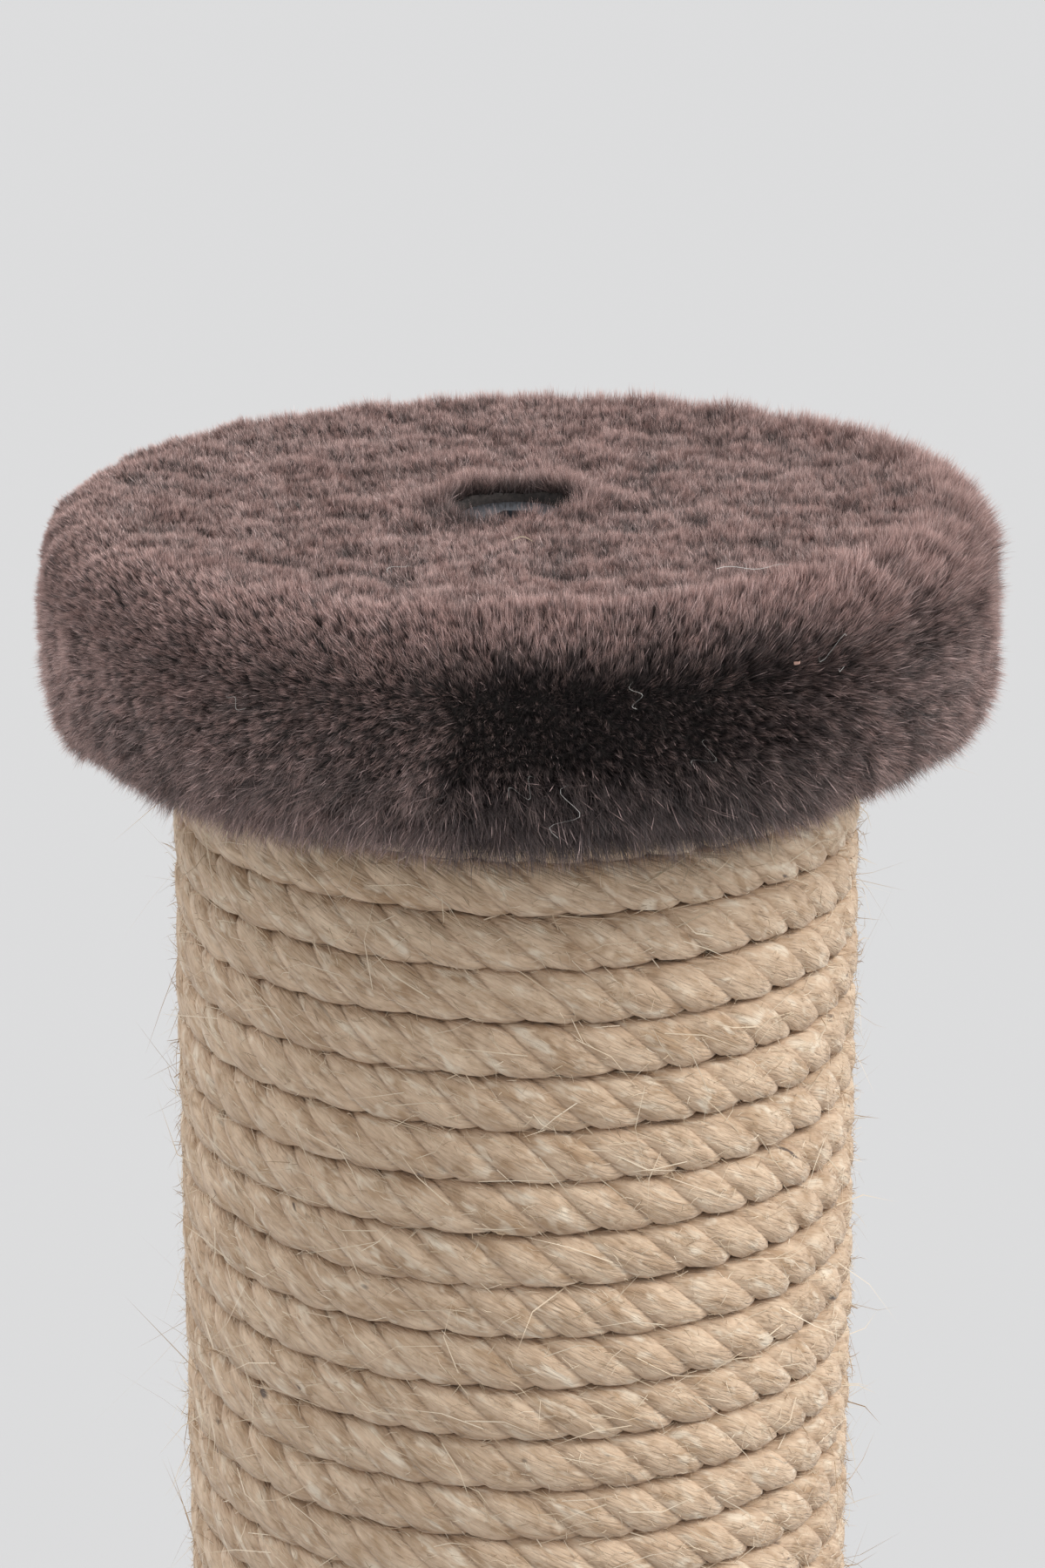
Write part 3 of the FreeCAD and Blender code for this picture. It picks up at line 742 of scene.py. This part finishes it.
def plate_backing(plate, line, split, thickness):
    """Face and band of a plate's backing with the dense foot of its pile, lumpy on its outer side and fuller
    by the puff just inside its rim. Also gives the even line that the pile is rooted on."""
    ahead = unit(np.gradient(line, axis=0))
    normals = np.stack([-ahead[:, 1], ahead[:, 0]], axis=1)
    inside_rim = np.exp(-((line[:, 0] - line[:, 0].max() + PUFF_INSET) / PUFF_WIDTH) ** 2)
    puff = plate.puff * inside_rim * smooth(-0.1, 0.9, normals[:, 1])
    skin = line + normals * (thickness + puff)[:, None]
    outer, ways, inner = (turned(points, plate.steps) for points in (skin, normals, line))
    outer = outer + ways * relief(outer.reshape(-1, 3), plate.lump).reshape(plate.steps, -1, 1)
    pieces = []
    for part, stretch in (("face", slice(0, split)), ("band", slice(split - 1, None))):
        grid = np.concatenate([inner[:, stretch], outer[:, stretch][:, ::-1]], axis=1)[:, ::-1]
        pieces.append(closed_grid(f"{plate.name}_{part}_backing", grid))
    return *pieces, skin


def top_zones(roots, settings, rim):
    """Weights from 0 to 1 of the parts of the top plate, and measures on it: past is the angle round from the
    band's joint, which wavers a little, and depth the run down from the rim."""
    position, zone = roots.position, SimpleNamespace()
    zone.drift, zone.eddy, zone.swirl = (
        rippled(position, size * MM, seed) for size, seed in ((17, 5), (5.5, 6), (5.5, 7)))
    zone.lumps = relief(position, TOP_LUMP) / MM
    zone.radius = np.hypot(position[:, 0], position[:, 1])
    zone.rightness = position[:, 0] / TOP_BOARD[1][0]
    zone.rough = 0.35 + 0.65 * smooth(-0.6, 0.3, zone.rightness)
    zone.rough = zone.rough * (1 - 0.6 * smooth(0, 45 * MM, position[:, 1]))
    zone.past = past = (roots.angle - settings.joint_angle + np.pi) % (2 * np.pi) - np.pi + 0.02 * zone.eddy
    zone.depth = depth = roots.place - rim
    zone.beside_hole = smooth(14 * MM, 9.5 * MM, zone.radius)
    zone.on_rim = smooth(-11 * MM, -5 * MM, depth) * smooth(6.5 * MM, 1.5 * MM, depth)
    zone.on_front = smooth(-10 * MM, -34 * MM, position[:, 1]) * zone.on_rim
    zone.on_band = smooth(-3 * MM, 3 * MM, depth)
    zone.on_face = 1 - zone.on_band
    zone.waist = smooth(2.5 * MM, 7 * MM, depth) * smooth(14 * MM, 9 * MM, depth)
    zone.low = smooth(11 * MM, 17 * MM, depth)
    zone.left = smooth(0.03, -0.03, past) * smooth(-2.6, -1.9, past)
    zone.standing = smooth(-0.03, 0.03, past) * smooth(0.95, 0.5, past)
    zone.right = smooth(0.5, 0.95, past) * smooth(2.6, 1.9, past)
    zone.hanging = np.clip(1 - zone.left - zone.standing - zone.right, 0, 1)
    return zone


def top_heading(roots, zone):
    """Heading of the top plate's pile. The face's pile stands in matted lumps, and lies back and outwards
    over the front rim. Round the hole it stands. The band's pile parts at the joint: turned to the left on
    its left, straight out for a stretch on its right, then turned to the right. It fans up to the rim and
    down to the hem, and hangs at the back."""
    about, low, drift, rightness = roots.about, zone.low, zone.drift, zone.rightness
    radial = roots.position * np.array([1.0, 1.0, 0.0]) / zone.radius[:, None]
    flatness = np.clip(0.35 - 0.1 * rightness + 0.35 * drift, 0.05, 1.0)
    lean = level(-0.4 + 0.8 * rightness, 0.7) * flatness[:, None]
    face = UP + lean + level(0.55 * zone.eddy, 0.55 * zone.swirl)
    face = mixed([(face, 1 - zone.beside_hole), (UP + 0.2 * radial, zone.beside_hole)])
    over_rim = UP + 0.25 * radial + level(-0.1 + np.where(rightness < 0, 0.8, 0.35) * rightness, 0.15)
    fan = 0.7 - 1.2 * smooth(0, 14 * MM, zone.depth) + 0.2 * drift
    left = (0.75 - 0.25 * low)[:, None] * radial - 0.7 * about + UP * (fan - 0.9 * low)[:, None]
    straight = radial + UP * (0.12 - 1.2 * low)[:, None] + about * (0.3 * low)[:, None]
    right = 0.85 * radial + about * (0.6 + 0.3 * drift)[:, None]
    right = right + UP * (0.15 + 0.7 * fan - 0.5 * low)[:, None]
    hanging = radial + UP * (fan - 0.3)[:, None]
    band = mixed([(left, zone.left), (straight, zone.standing), (right, zone.right), (hanging, zone.hanging)])
    heading = unit(mixed([(unit(face), zone.on_face), (unit(band), zone.on_band)]))
    return unit(mixed([(heading, 1 - 0.8 * zone.on_rim), (unit(over_rim), 0.8 * zone.on_rim)]))


def top_shade(roots, zone):
    """Painted light and shade of the top plate's tufts: paler on the lumps, on the rim and behind the hole,
    dark where the band's pile stands straight out, and paler again round to its left and right."""
    low, left, right, past = zone.low, zone.left, zone.right, zone.past
    near_joint = smooth(-0.45, -0.02, past) * left
    on_face = 0.34 + 0.8 * zone.lumps * zone.rough + 0.03 * zone.rightness
    on_face = on_face + 0.25 * np.sin(roots.angle) * zone.beside_hole
    on_band = 0.18 * zone.lumps - 0.29 * zone.standing - 0.17 * near_joint + 0.27 * left
    on_band = on_band - 0.18 * low * (1 - right) + 0.65 * smooth(-0.7, -1.35, past) * left
    on_band = on_band + (0.08 * low + 0.2 * smooth(1.1, 1.6, past)) * right
    rim = 0.28 * zone.on_rim * (1 - 0.5 * zone.on_band * zone.standing)
    return 0.07 + 0.05 * zone.eddy + rim + on_face * zone.on_face + on_band * zone.on_band


def top_lie(roots, settings, rim):
    """Lie of the top plate's pile: longer on the rim, round the hole and on the front of the hem."""
    zone = top_zones(roots, settings, rim)
    left, right, low, on_face, on_band = zone.left, zone.right, zone.low, zone.on_face, zone.on_band
    rightness, standing = zone.rightness, zone.standing
    band = 0.05 + (0.5 + 0.75 * smooth(1.0, 0.4, np.abs(zone.past))) * low
    band = band - left * (0.18 + 0.12 * low) + (0.4 * right + 0.1 * left) * zone.waist
    length = 0.68 + (0.40 + np.where(rightness < 0, 0.45, 0.20) * rightness) * zone.on_rim
    length = length + 0.1 * rightness * on_face + (0.56 + 0.2 * np.sin(roots.angle)) * zone.beside_hole
    length = settings.pile * (length + band * on_band)
    loose = 0.8 * left + 0.45 * standing + 0.8 * right + 0.7 * zone.hanging + 0.55 * low
    disorder = mixed([(1.1 - 0.5 * zone.on_front, on_face), (loose, on_band)])
    contrast = 0.65 + on_face * (0.75 * zone.rough - 0.65)
    # Glints: share of fibres painted as bright highlights, more on the front rim and rough parts
    glints = 0.045 + on_face * (0.03 + 0.13 * zone.on_front) * (0.5 + 0.5 * zone.rough)
    glints = glints - 0.02 * standing * on_band
    return Lie(top_heading(roots, zone), length, disorder, top_shade(roots, zone), contrast, glints)


def base_lie(roots, settings, _):
    """Lie of the base's pile: one way across the face in drifts, and downwards on the band."""
    drift, eddy = (rippled(roots.position, size * MM, seed) for size, seed in ((38, 41), (15, 42)))
    nap = np.array([[-0.5, -0.65, -0.35]]) * (0.8 + 0.5 * drift)[:, None]
    swirl = roots.about * (0.45 * eddy)[:, None] + roots.down * (0.35 * eddy)[:, None]
    heading = unit(roots.normal + nap + swirl)
    # Painted light and shade: paler on the lumps' crests, darker in their hollows
    shade = 0.20 + 0.2 * relief(roots.position, BASE_LUMP) / MM
    ones = np.ones(len(drift))
    return Lie(heading, 1.3 * settings.pile * ones, ones, shade, 0.6 * ones, 0.05 * ones)


def pile(name, roots, lie, width, tuft, seed):
    """Pile fibres: straight thin blades between the surface's normal and their heading, which tuft and chance
    turn aside by the disorder there. Each is drawn towards the middle of its tuft, and tufts differ in length
    and tone. Glints, painted highlights, are paler and wider."""
    position, normal = roots.position, roots.normal
    count = len(position)
    rng = np.random.default_rng(seed)
    centre, number = nearest_tuft(position, tuft, seed)
    centre = centre - normal * ((centre - position) * normal).sum(axis=1, keepdims=True)
    push = np.stack([draw(number, k) - 0.5 for k in (3, 5, 7)], axis=1)
    heading = unit(lie.heading + lie.disorder[:, None] * (1.1 * push + 0.28 * rng.normal(size=(count, 3))))
    sunk = np.maximum(0.25 - (heading * normal).sum(axis=1), 0)
    heading = unit(heading + normal * (0.15 + sunk)[:, None])
    length = lie.length * (0.76 + 0.44 * draw(number, 13)) * (1 + rng.normal(0, 0.10, count))
    drawn_in = (centre - position) * (TUFT_GATHER * (0.5 + 0.9 * draw(number, 9)))[:, None]
    tip = position + length[:, None] * heading + drawn_in
    twist = rng.normal(0, 0.8, count)
    across = unit(np.cross(heading, normal + 0.05 * push))
    side = across * np.cos(twist)[:, None] + np.cross(heading, across) * np.sin(twist)[:, None]
    # Tone: the lie's painted light and shade, with a chance tone for each tuft and fibre
    tone = 0.42 + lie.shade + lie.contrast * (draw(number, 11) - 0.5) + rng.normal(0, 0.15, count)
    glint = rng.uniform(size=count) < lie.glints
    tone = np.where(glint, rng.uniform(0.93, 1.0, count), np.clip(tone, 0, 0.9))
    width = width * rng.uniform(0.75, 1.25, count) * np.where(glint, 1.6, 1.0)
    return ribbons(name, np.stack([position - ROOT_DEPTH * normal, tip], axis=1), side, width, tone)


def plate_pile(plate, roots, lie, width, seam):
    """The pile of a plate's face and band on its lumpy backing, in sectors below the limit of triangles.
    Fibres well in on the hem, which is pressed to the board, are short, and none reaches below the floor."""
    lumpy = roots.position + roots.normal * relief(roots.position, plate.lump)[:, None]
    radius = np.hypot(lumpy[:, 0], lumpy[:, 1])
    on_hem = (roots.normal[:, 2] < -0.6) & (radius < radius.max() - PRESSED_INSET)
    length = np.where(on_hem, 0.5 * lie.length, lie.length)
    drop = np.maximum(lumpy[:, 2] - plate.floor, LEAST_DROP)
    length = np.minimum(length, drop / np.maximum(-lie.heading[:, 2], 1e-3) * 0.8)
    roots, lie = roots._replace(position=lumpy), lie._replace(length=length)
    fibres = {"face": [], "band": []}
    for part, inside in (("face", roots.place < seam), ("band", roots.place >= seam)):
        sectors = math.ceil(inside.sum() / PIECE_LIMIT)
        sector = np.floor((roots.angle % (2 * np.pi)) / (2 * np.pi) * sectors)
        for k in range(sectors):
            mask = inside & (sector == k)
            name, seed = f"{plate.name}_{part}_pile_{k + 1}", plate.pile_seed + k
            piece = pile(name, chosen(roots, mask), chosen(lie, mask), width, plate.tuft, seed)
            fibres[part].append(piece)
    return fibres


def cover_plate(plate, settings, count, lie):
    """Backing and pile of a plate: gives its face, its band and the pieces of pile on each."""
    title = plate.name.title()
    plush, backing = plush_material(f"{title} plush", settings), shaded_backing_material(f"{title} backing")
    line = plate_line(plate)
    split = int(np.argmax(line[:, 0] > plate.board[1][0] - BAND_INSET))
    face, band, skin = plate_backing(plate, line, split, settings.backing)
    run = run_along(skin)
    rim_start, rim_end = run[FACE_POINTS], run[FACE_POINTS + ARC_POINTS - 1]
    roots = rooted(skin, run, max(plate.bare - skin[0, 0], 0.0), count, plate.root_seed)
    roots = thinned(roots, plate.hem_share)
    fur = lie(roots, settings, rim_start + RIM_SHARE * (rim_end - rim_start))
    fibres = plate_pile(plate, roots, fur, settings.fibre_width * plate.widening, run[split])
    attach(face, backing, "plush", f"{plate.name}_plush_face")
    attach(band, backing, "plush", f"{plate.name}_plush_band")
    for part, pieces in fibres.items():
        for piece in pieces:
            attach(piece, plush, "plush", f"{plate.name}_plush_{part}")
    return face, band, fibres


def lint_material():
    """Pale lint, some of it straw coloured or pink."""
    nodes = new_material("Lint")
    tone, _ = nodes.map_axes()
    colour = nodes.ramp(tone, (0.0, (0.62, 0.36, 0.30)), (0.3, (0.50, 0.40, 0.26)), (0.6, (0.46, 0.45, 0.42)),
                        (1.0, (0.60, 0.59, 0.56)))
    return nodes.finish(Base_Color=colour, Roughness=0.6)


# Each hair's angle round the plate in degrees, distance from the axis and height below the pile's top in mm,
# length and width in mm, slope in degrees, curl and tone
HAIRS = np.array([
    (307.6, 48.8, -0.2, 11.0, 0.10, 2, 0.13, 0.9),
    (305.0, 46.5, -0.2, 5.0, 0.09, 160, 0.3, 0.8),
    (275.6, 62.6, 22.7, 7.0, 0.10, 75, 0.22, 0.75),
    (271.0, 62.6, 20.0, 4.0, 0.08, 30, 0.3, 0.7),
    (272.4, 24.0, -0.1, 2.8, 0.16, -15, 0.0, 0.3),
    (343.2, 54.5, 0.0, 4.5, 0.08, 115, 0.1, 0.8),
    (307.0, 62.8, 6.6, 5.5, 0.08, 150, 0.4, 0.7),
    (302.0, 62.8, 7.3, 0.9, 0.55, 20, 0.0, 0.02),
    (283.0, 62.6, 9.0, 3.5, 0.07, 100, 0.2, 0.6),
    (291.0, 62.6, 17.0, 4.0, 0.07, 60, 0.35, 0.6),
    (238.0, 62.2, 12.0, 3.0, 0.07, 140, 0.2, 0.6),
    (250.0, 40.0, -0.1, 4.0, 0.07, 30, 0.2, 0.7),
])


def lint(name):
    """Hairs caught in the top plate's pile, on its face or on its band. A hair is a straight line with a
    sideways swing of one and a half waves, raised a little in its middle."""
    angle, radius, below, length, width, slope, curl, tone = HAIRS.T
    angle, slope = np.radians(angle), np.radians(slope)
    flat, about = level(np.cos(angle), np.sin(angle)), level(-np.sin(angle), np.cos(angle))
    on_face = (below < 1)[:, None]
    normal = np.where(on_face, UP, flat)
    first, second = np.where(on_face, RIGHT, about), np.where(on_face, BACK, UP)
    along = first * np.cos(slope)[:, None] + second * np.sin(slope)[:, None]
    aside = np.cross(normal, along)
    centre = flat * radius[:, None] * MM + UP * (PLUSH_TOP - below * MM)[:, None]
    t = np.linspace(-0.5, 0.5, 14)[None, :, None]
    far = (length * MM)[:, None, None]
    swing = far * curl[:, None, None] * np.sin(3 * np.pi * t + angle[:, None, None])
    paths = centre[:, None] + along[:, None] * far * t + aside[:, None] * swing
    paths = paths + normal[:, None] * (HAIR_LIFT * np.cos(5 * t))
    return ribbons(name, paths, unit(aside + 0.4 * normal), width * MM, tone)


class SCRATCHER_OT_top_plush(bpy.types.Operator):
    """Covers the top plate in plush: backing, pile on the face, pile on the band and lint"""
    bl_idname = "scratcher.top_plush"
    bl_label = "Top plush"

    def execute(self, context):
        settings = context.scene.scratcher_plush
        face, band, fibres = cover_plate(TOP_PLATE, settings, settings.top_fibres, top_lie)
        attach(lint("top_plush_lint"), lint_material(), "plush", "top_plush_face")
        return {"FINISHED"}


class SCRATCHER_OT_base_plush(bpy.types.Operator):
    """Covers the base in plush: backing, pile on the face and pile on the band"""
    bl_idname = "scratcher.base_plush"
    bl_label = "Base plush"

    def execute(self, context):
        settings = context.scene.scratcher_plush
        face, band, fibres = cover_plate(BASE_PLATE, settings, settings.base_fibres, base_lie)
        return {"FINISHED"}


# Hard parts

def finish_nodes(material, *names):
    """Gives the objects of some CAD nodes one material in place of their own."""
    for name in names:
        materials = bpy.data.objects[name].data.materials
        materials.clear()
        materials.append(material)


def worn_material(name):
    """Node adder of a new material, its Object coordinates and the shared cloud and specks on them."""
    nodes = new_material(name)
    place = nodes.place()
    return nodes, place, use_group(nodes, "Wear and dust", wear_and_dust, place)


def chipboard_material():
    """Raw chipboard: pressed chips of several browns."""
    nodes, place, wear = worn_material("Chipboard")
    chip = nodes.make("TexVoronoi", Vector=nodes.stretched(place, (420, 260, 700)), Scale=1.0)["Color"]
    tone = nodes.make("SeparateColor", Color=chip)[0]
    colour = nodes.ramp(
        tone, (0.0, (0.30, 0.20, 0.11)), (0.45, (0.50, 0.37, 0.22)), (1.0, (0.66, 0.52, 0.34)))
    colour = nodes.mix(nodes.band(wear["Cloud"], 0.3, 0.8, 0.0, 0.4), colour, (0.42, 0.31, 0.19))
    return nodes.finish(Base_Color=colour, Normal=nodes.bump(tone, 0.3 * MM), Roughness=0.82)


def cardboard_material():
    """Wound cardboard: flat grey-brown with a slow cloud and short paper fibres."""
    nodes, place, wear = worn_material("Cardboard")
    fibres = nodes.noise(place, (900, 900, 2600))
    colour = nodes.ramp(fibres, (0.3, (0.34, 0.25, 0.16)), (0.7, (0.52, 0.40, 0.27)))
    colour = nodes.mix(nodes.band(wear["Cloud"], 0.3, 0.7, 0.0, 0.4), colour, (0.36, 0.28, 0.19))
    return nodes.finish(Base_Color=colour, Normal=nodes.bump(fibres, 0.2 * MM), Roughness=0.88)


def shaded_zinc_material():
    """Zinc plate, darkened as painted shade and painted reflection of the dark hole walls: bluish metal with
    fine scratches and dark specks.
    """
    nodes, place, wear = worn_material("Zinc plate")
    scratches = nodes.noise(place, (5200, 500, 500), 2.0)
    # Dark blues: the zinc's colour with painted shade
    colour = nodes.mix(nodes.band(wear["Cloud"], 0.3, 0.75), (0.12, 0.13, 0.15), (0.18, 0.195, 0.215))
    colour = nodes.mix(wear["Specks"], colour, (0.10, 0.108, 0.12))
    roughness = nodes.band(scratches, 0.3, 0.7, 0.28, 0.46)
    return nodes.finish(
        Base_Color=colour, Roughness=roughness, Normal=nodes.bump(scratches, 0.04 * MM), Metallic=1.0)


def rubber_material():
    """Matt black rubber with a moulded grain and a little dust."""
    nodes, place, wear = worn_material("Rubber")
    colour = nodes.ramp(wear["Cloud"], (0.3, (0.018, 0.018, 0.018)), (0.75, (0.045, 0.044, 0.042)))
    colour = nodes.mix(nodes.times(wear["Specks"], 0.3), colour, (0.14, 0.135, 0.125))
    roughness = nodes.band(wear["Cloud"], 0.3, 0.7, 0.55, 0.8)
    grain = nodes.noise(place, 2600.0, 2.0)
    return nodes.finish(Base_Color=colour, Roughness=roughness, Normal=nodes.bump(grain, 0.1 * MM))


class SCRATCHER_OT_boards(bpy.types.Operator):
    """Finishes the boards and plugs as chipboard"""
    bl_idname = "scratcher.boards"
    bl_label = "Boards and plugs"

    def execute(self, context):
        finish_nodes(chipboard_material(), "top_board", "base_board", "top_plug", "bottom_plug")
        return {"FINISHED"}


class SCRATCHER_OT_tube(bpy.types.Operator):
    """Finishes the tube as cardboard"""
    bl_idname = "scratcher.tube"
    bl_label = "Tube"

    def execute(self, context):
        finish_nodes(cardboard_material(), "post_tube")
        return {"FINISHED"}


class SCRATCHER_OT_fastenings(bpy.types.Operator):
    """Finishes bolts, washer, nuts, nails, staples and screws as zinc plate darkened with painted shade"""
    bl_idname = "scratcher.fastenings"
    bl_label = "Fastenings"

    def execute(self, context):
        finish_nodes(shaded_zinc_material(), "top_bolt", "base_bolt", "base_washer", "top_tee_nut", "bottom_tee_nut",
                     "top_plug_nails", "bottom_plug_nails", "top_cover_staples", "base_cover_staples",
                     "foot_screws")
        return {"FINISHED"}


class SCRATCHER_OT_feet(bpy.types.Operator):
    """Finishes the feet as black rubber"""
    bl_idname = "scratcher.feet"
    bl_label = "Feet"

    def execute(self, context):
        finish_nodes(rubber_material(), "foot_back_right", "foot_back_left", "foot_front_left",
                     "foot_front_right")
        return {"FINISHED"}


# Stage

def floor_material(colour):
    """Pale matt floor of one plain colour."""
    return new_material("Pale floor").finish(Base_Color=colour, Roughness=0.95, Specular_IOR_Level=0.1)


def soft_lamp(name, azimuth, elevation, spread_angle, strength, colour):
    """Broad distant lamp from a compass angle and a height above the horizon, even over the whole floor."""
    data = bpy.data.lights.new(name, "SUN")
    data.angle = math.radians(spread_angle)
    data.energy = strength
    data.color = colour
    lamp = bpy.data.objects.new(name, data)
    a, e = math.radians(azimuth), math.radians(elevation)
    towards = Vector((math.cos(e) * math.cos(a), math.cos(e) * math.sin(a), math.sin(e)))
    lamp.rotation_euler = towards.to_track_quat("Z", "Y").to_euler()
    lamp.location = towards * 3
    bpy.context.scene.collection.objects.link(lamp)


def place_camera(scene, settings):
    """Camera in front of the post at the photo's angle."""
    camera = bpy.data.cameras.new("camera")
    camera.lens = settings.lens
    camera.sensor_width = SENSOR_WIDTH
    camera.clip_start, camera.clip_end = 0.01, 60.0
    viewer = bpy.data.objects.new("camera", camera)
    turn = Matrix.Rotation(math.pi / 2 - settings.tilt, 4, "X") @ Matrix.Rotation(settings.roll, 4, "Z")
    viewer.rotation_euler = turn.to_euler()
    viewer.location = (CAMERA_ASIDE, -settings.distance, CAD_BOX[1][2] + settings.rise)
    scene.collection.objects.link(viewer)
    scene.camera = viewer


class SCRATCHER_OT_stage(bpy.types.Operator):
    """Lays the floor, sets the lamps and places the camera"""
    bl_idname = "scratcher.stage"
    bl_label = "Stage"

    def execute(self, context):
        scene, settings = context.scene, context.scene.scratcher_stage
        scene.view_settings.view_transform = "Standard"
        corners = FLOOR_REACH * np.array([[-1, -1, 0], [1, -1, 0], [1, 1, 0], [-1, 1, 0]])
        floor = new_piece("floor", corners, np.arange(4), np.array([4]), flat=True)
        floor.data.materials.append(floor_material(settings.floor))
        scene.world = bpy.data.worlds.new("Pale room")
        scene.world.use_nodes = True
        nodes = Nodes(scene.world.node_tree)
        nodes.set(nodes.tree.nodes["Background"], Color=(0.96, 0.975, 1.0), Strength=0.80)
        soft_lamp("key", -8, 42, 35, 2.2, (1.0, 0.985, 0.96))
        soft_lamp("rear", 150, 42, 35, 0.9, (1.0, 0.99, 0.98))
        place_camera(scene, settings)
        return {"FINISHED"}


class SCRATCHER_PT_panel(bpy.types.Panel):
    """Lists the steps that dress the scratching post"""
    bl_idname = "SCRATCHER_PT_panel"
    bl_label = "Scratching post"
    bl_space_type = "VIEW_3D"
    bl_region_type = "UI"
    bl_category = "Scratching post"

    def draw(self, context):
        column = self.layout.column()
        for operator in OPERATORS:
            column.operator(operator.bl_idname)
        for key, cls in SETTINGS.items():
            box = self.layout.box()
            for name in cls.__annotations__:
                box.prop(getattr(context.scene, key), name)


OPERATORS = (SCRATCHER_OT_stage, SCRATCHER_OT_rope, SCRATCHER_OT_top_plush, SCRATCHER_OT_base_plush,
             SCRATCHER_OT_boards, SCRATCHER_OT_tube, SCRATCHER_OT_fastenings, SCRATCHER_OT_feet)
SETTINGS = {
    "scratcher_plush": PlushSettings,
    "scratcher_rope": RopeSettings,
    "scratcher_stage": StageSettings,
}
CLASSES = (*SETTINGS.values(), *OPERATORS, SCRATCHER_PT_panel)


def register():
    for cls in CLASSES:
        bpy.utils.register_class(cls)
    for key, cls in SETTINGS.items():
        setattr(bpy.types.Scene, key, bpy.props.PointerProperty(type=cls))


def unregister():
    for key in SETTINGS:
        delattr(bpy.types.Scene, key)
    for cls in reversed(CLASSES):
        bpy.utils.unregister_class(cls)


def main():
    register()
    bpy.ops.scratcher.stage()
    bpy.ops.scratcher.rope()
    bpy.ops.scratcher.top_plush()
    bpy.ops.scratcher.base_plush()
    bpy.ops.scratcher.boards()
    bpy.ops.scratcher.tube()
    bpy.ops.scratcher.fastenings()
    bpy.ops.scratcher.feet()


if __name__ == "__main__":
    main()
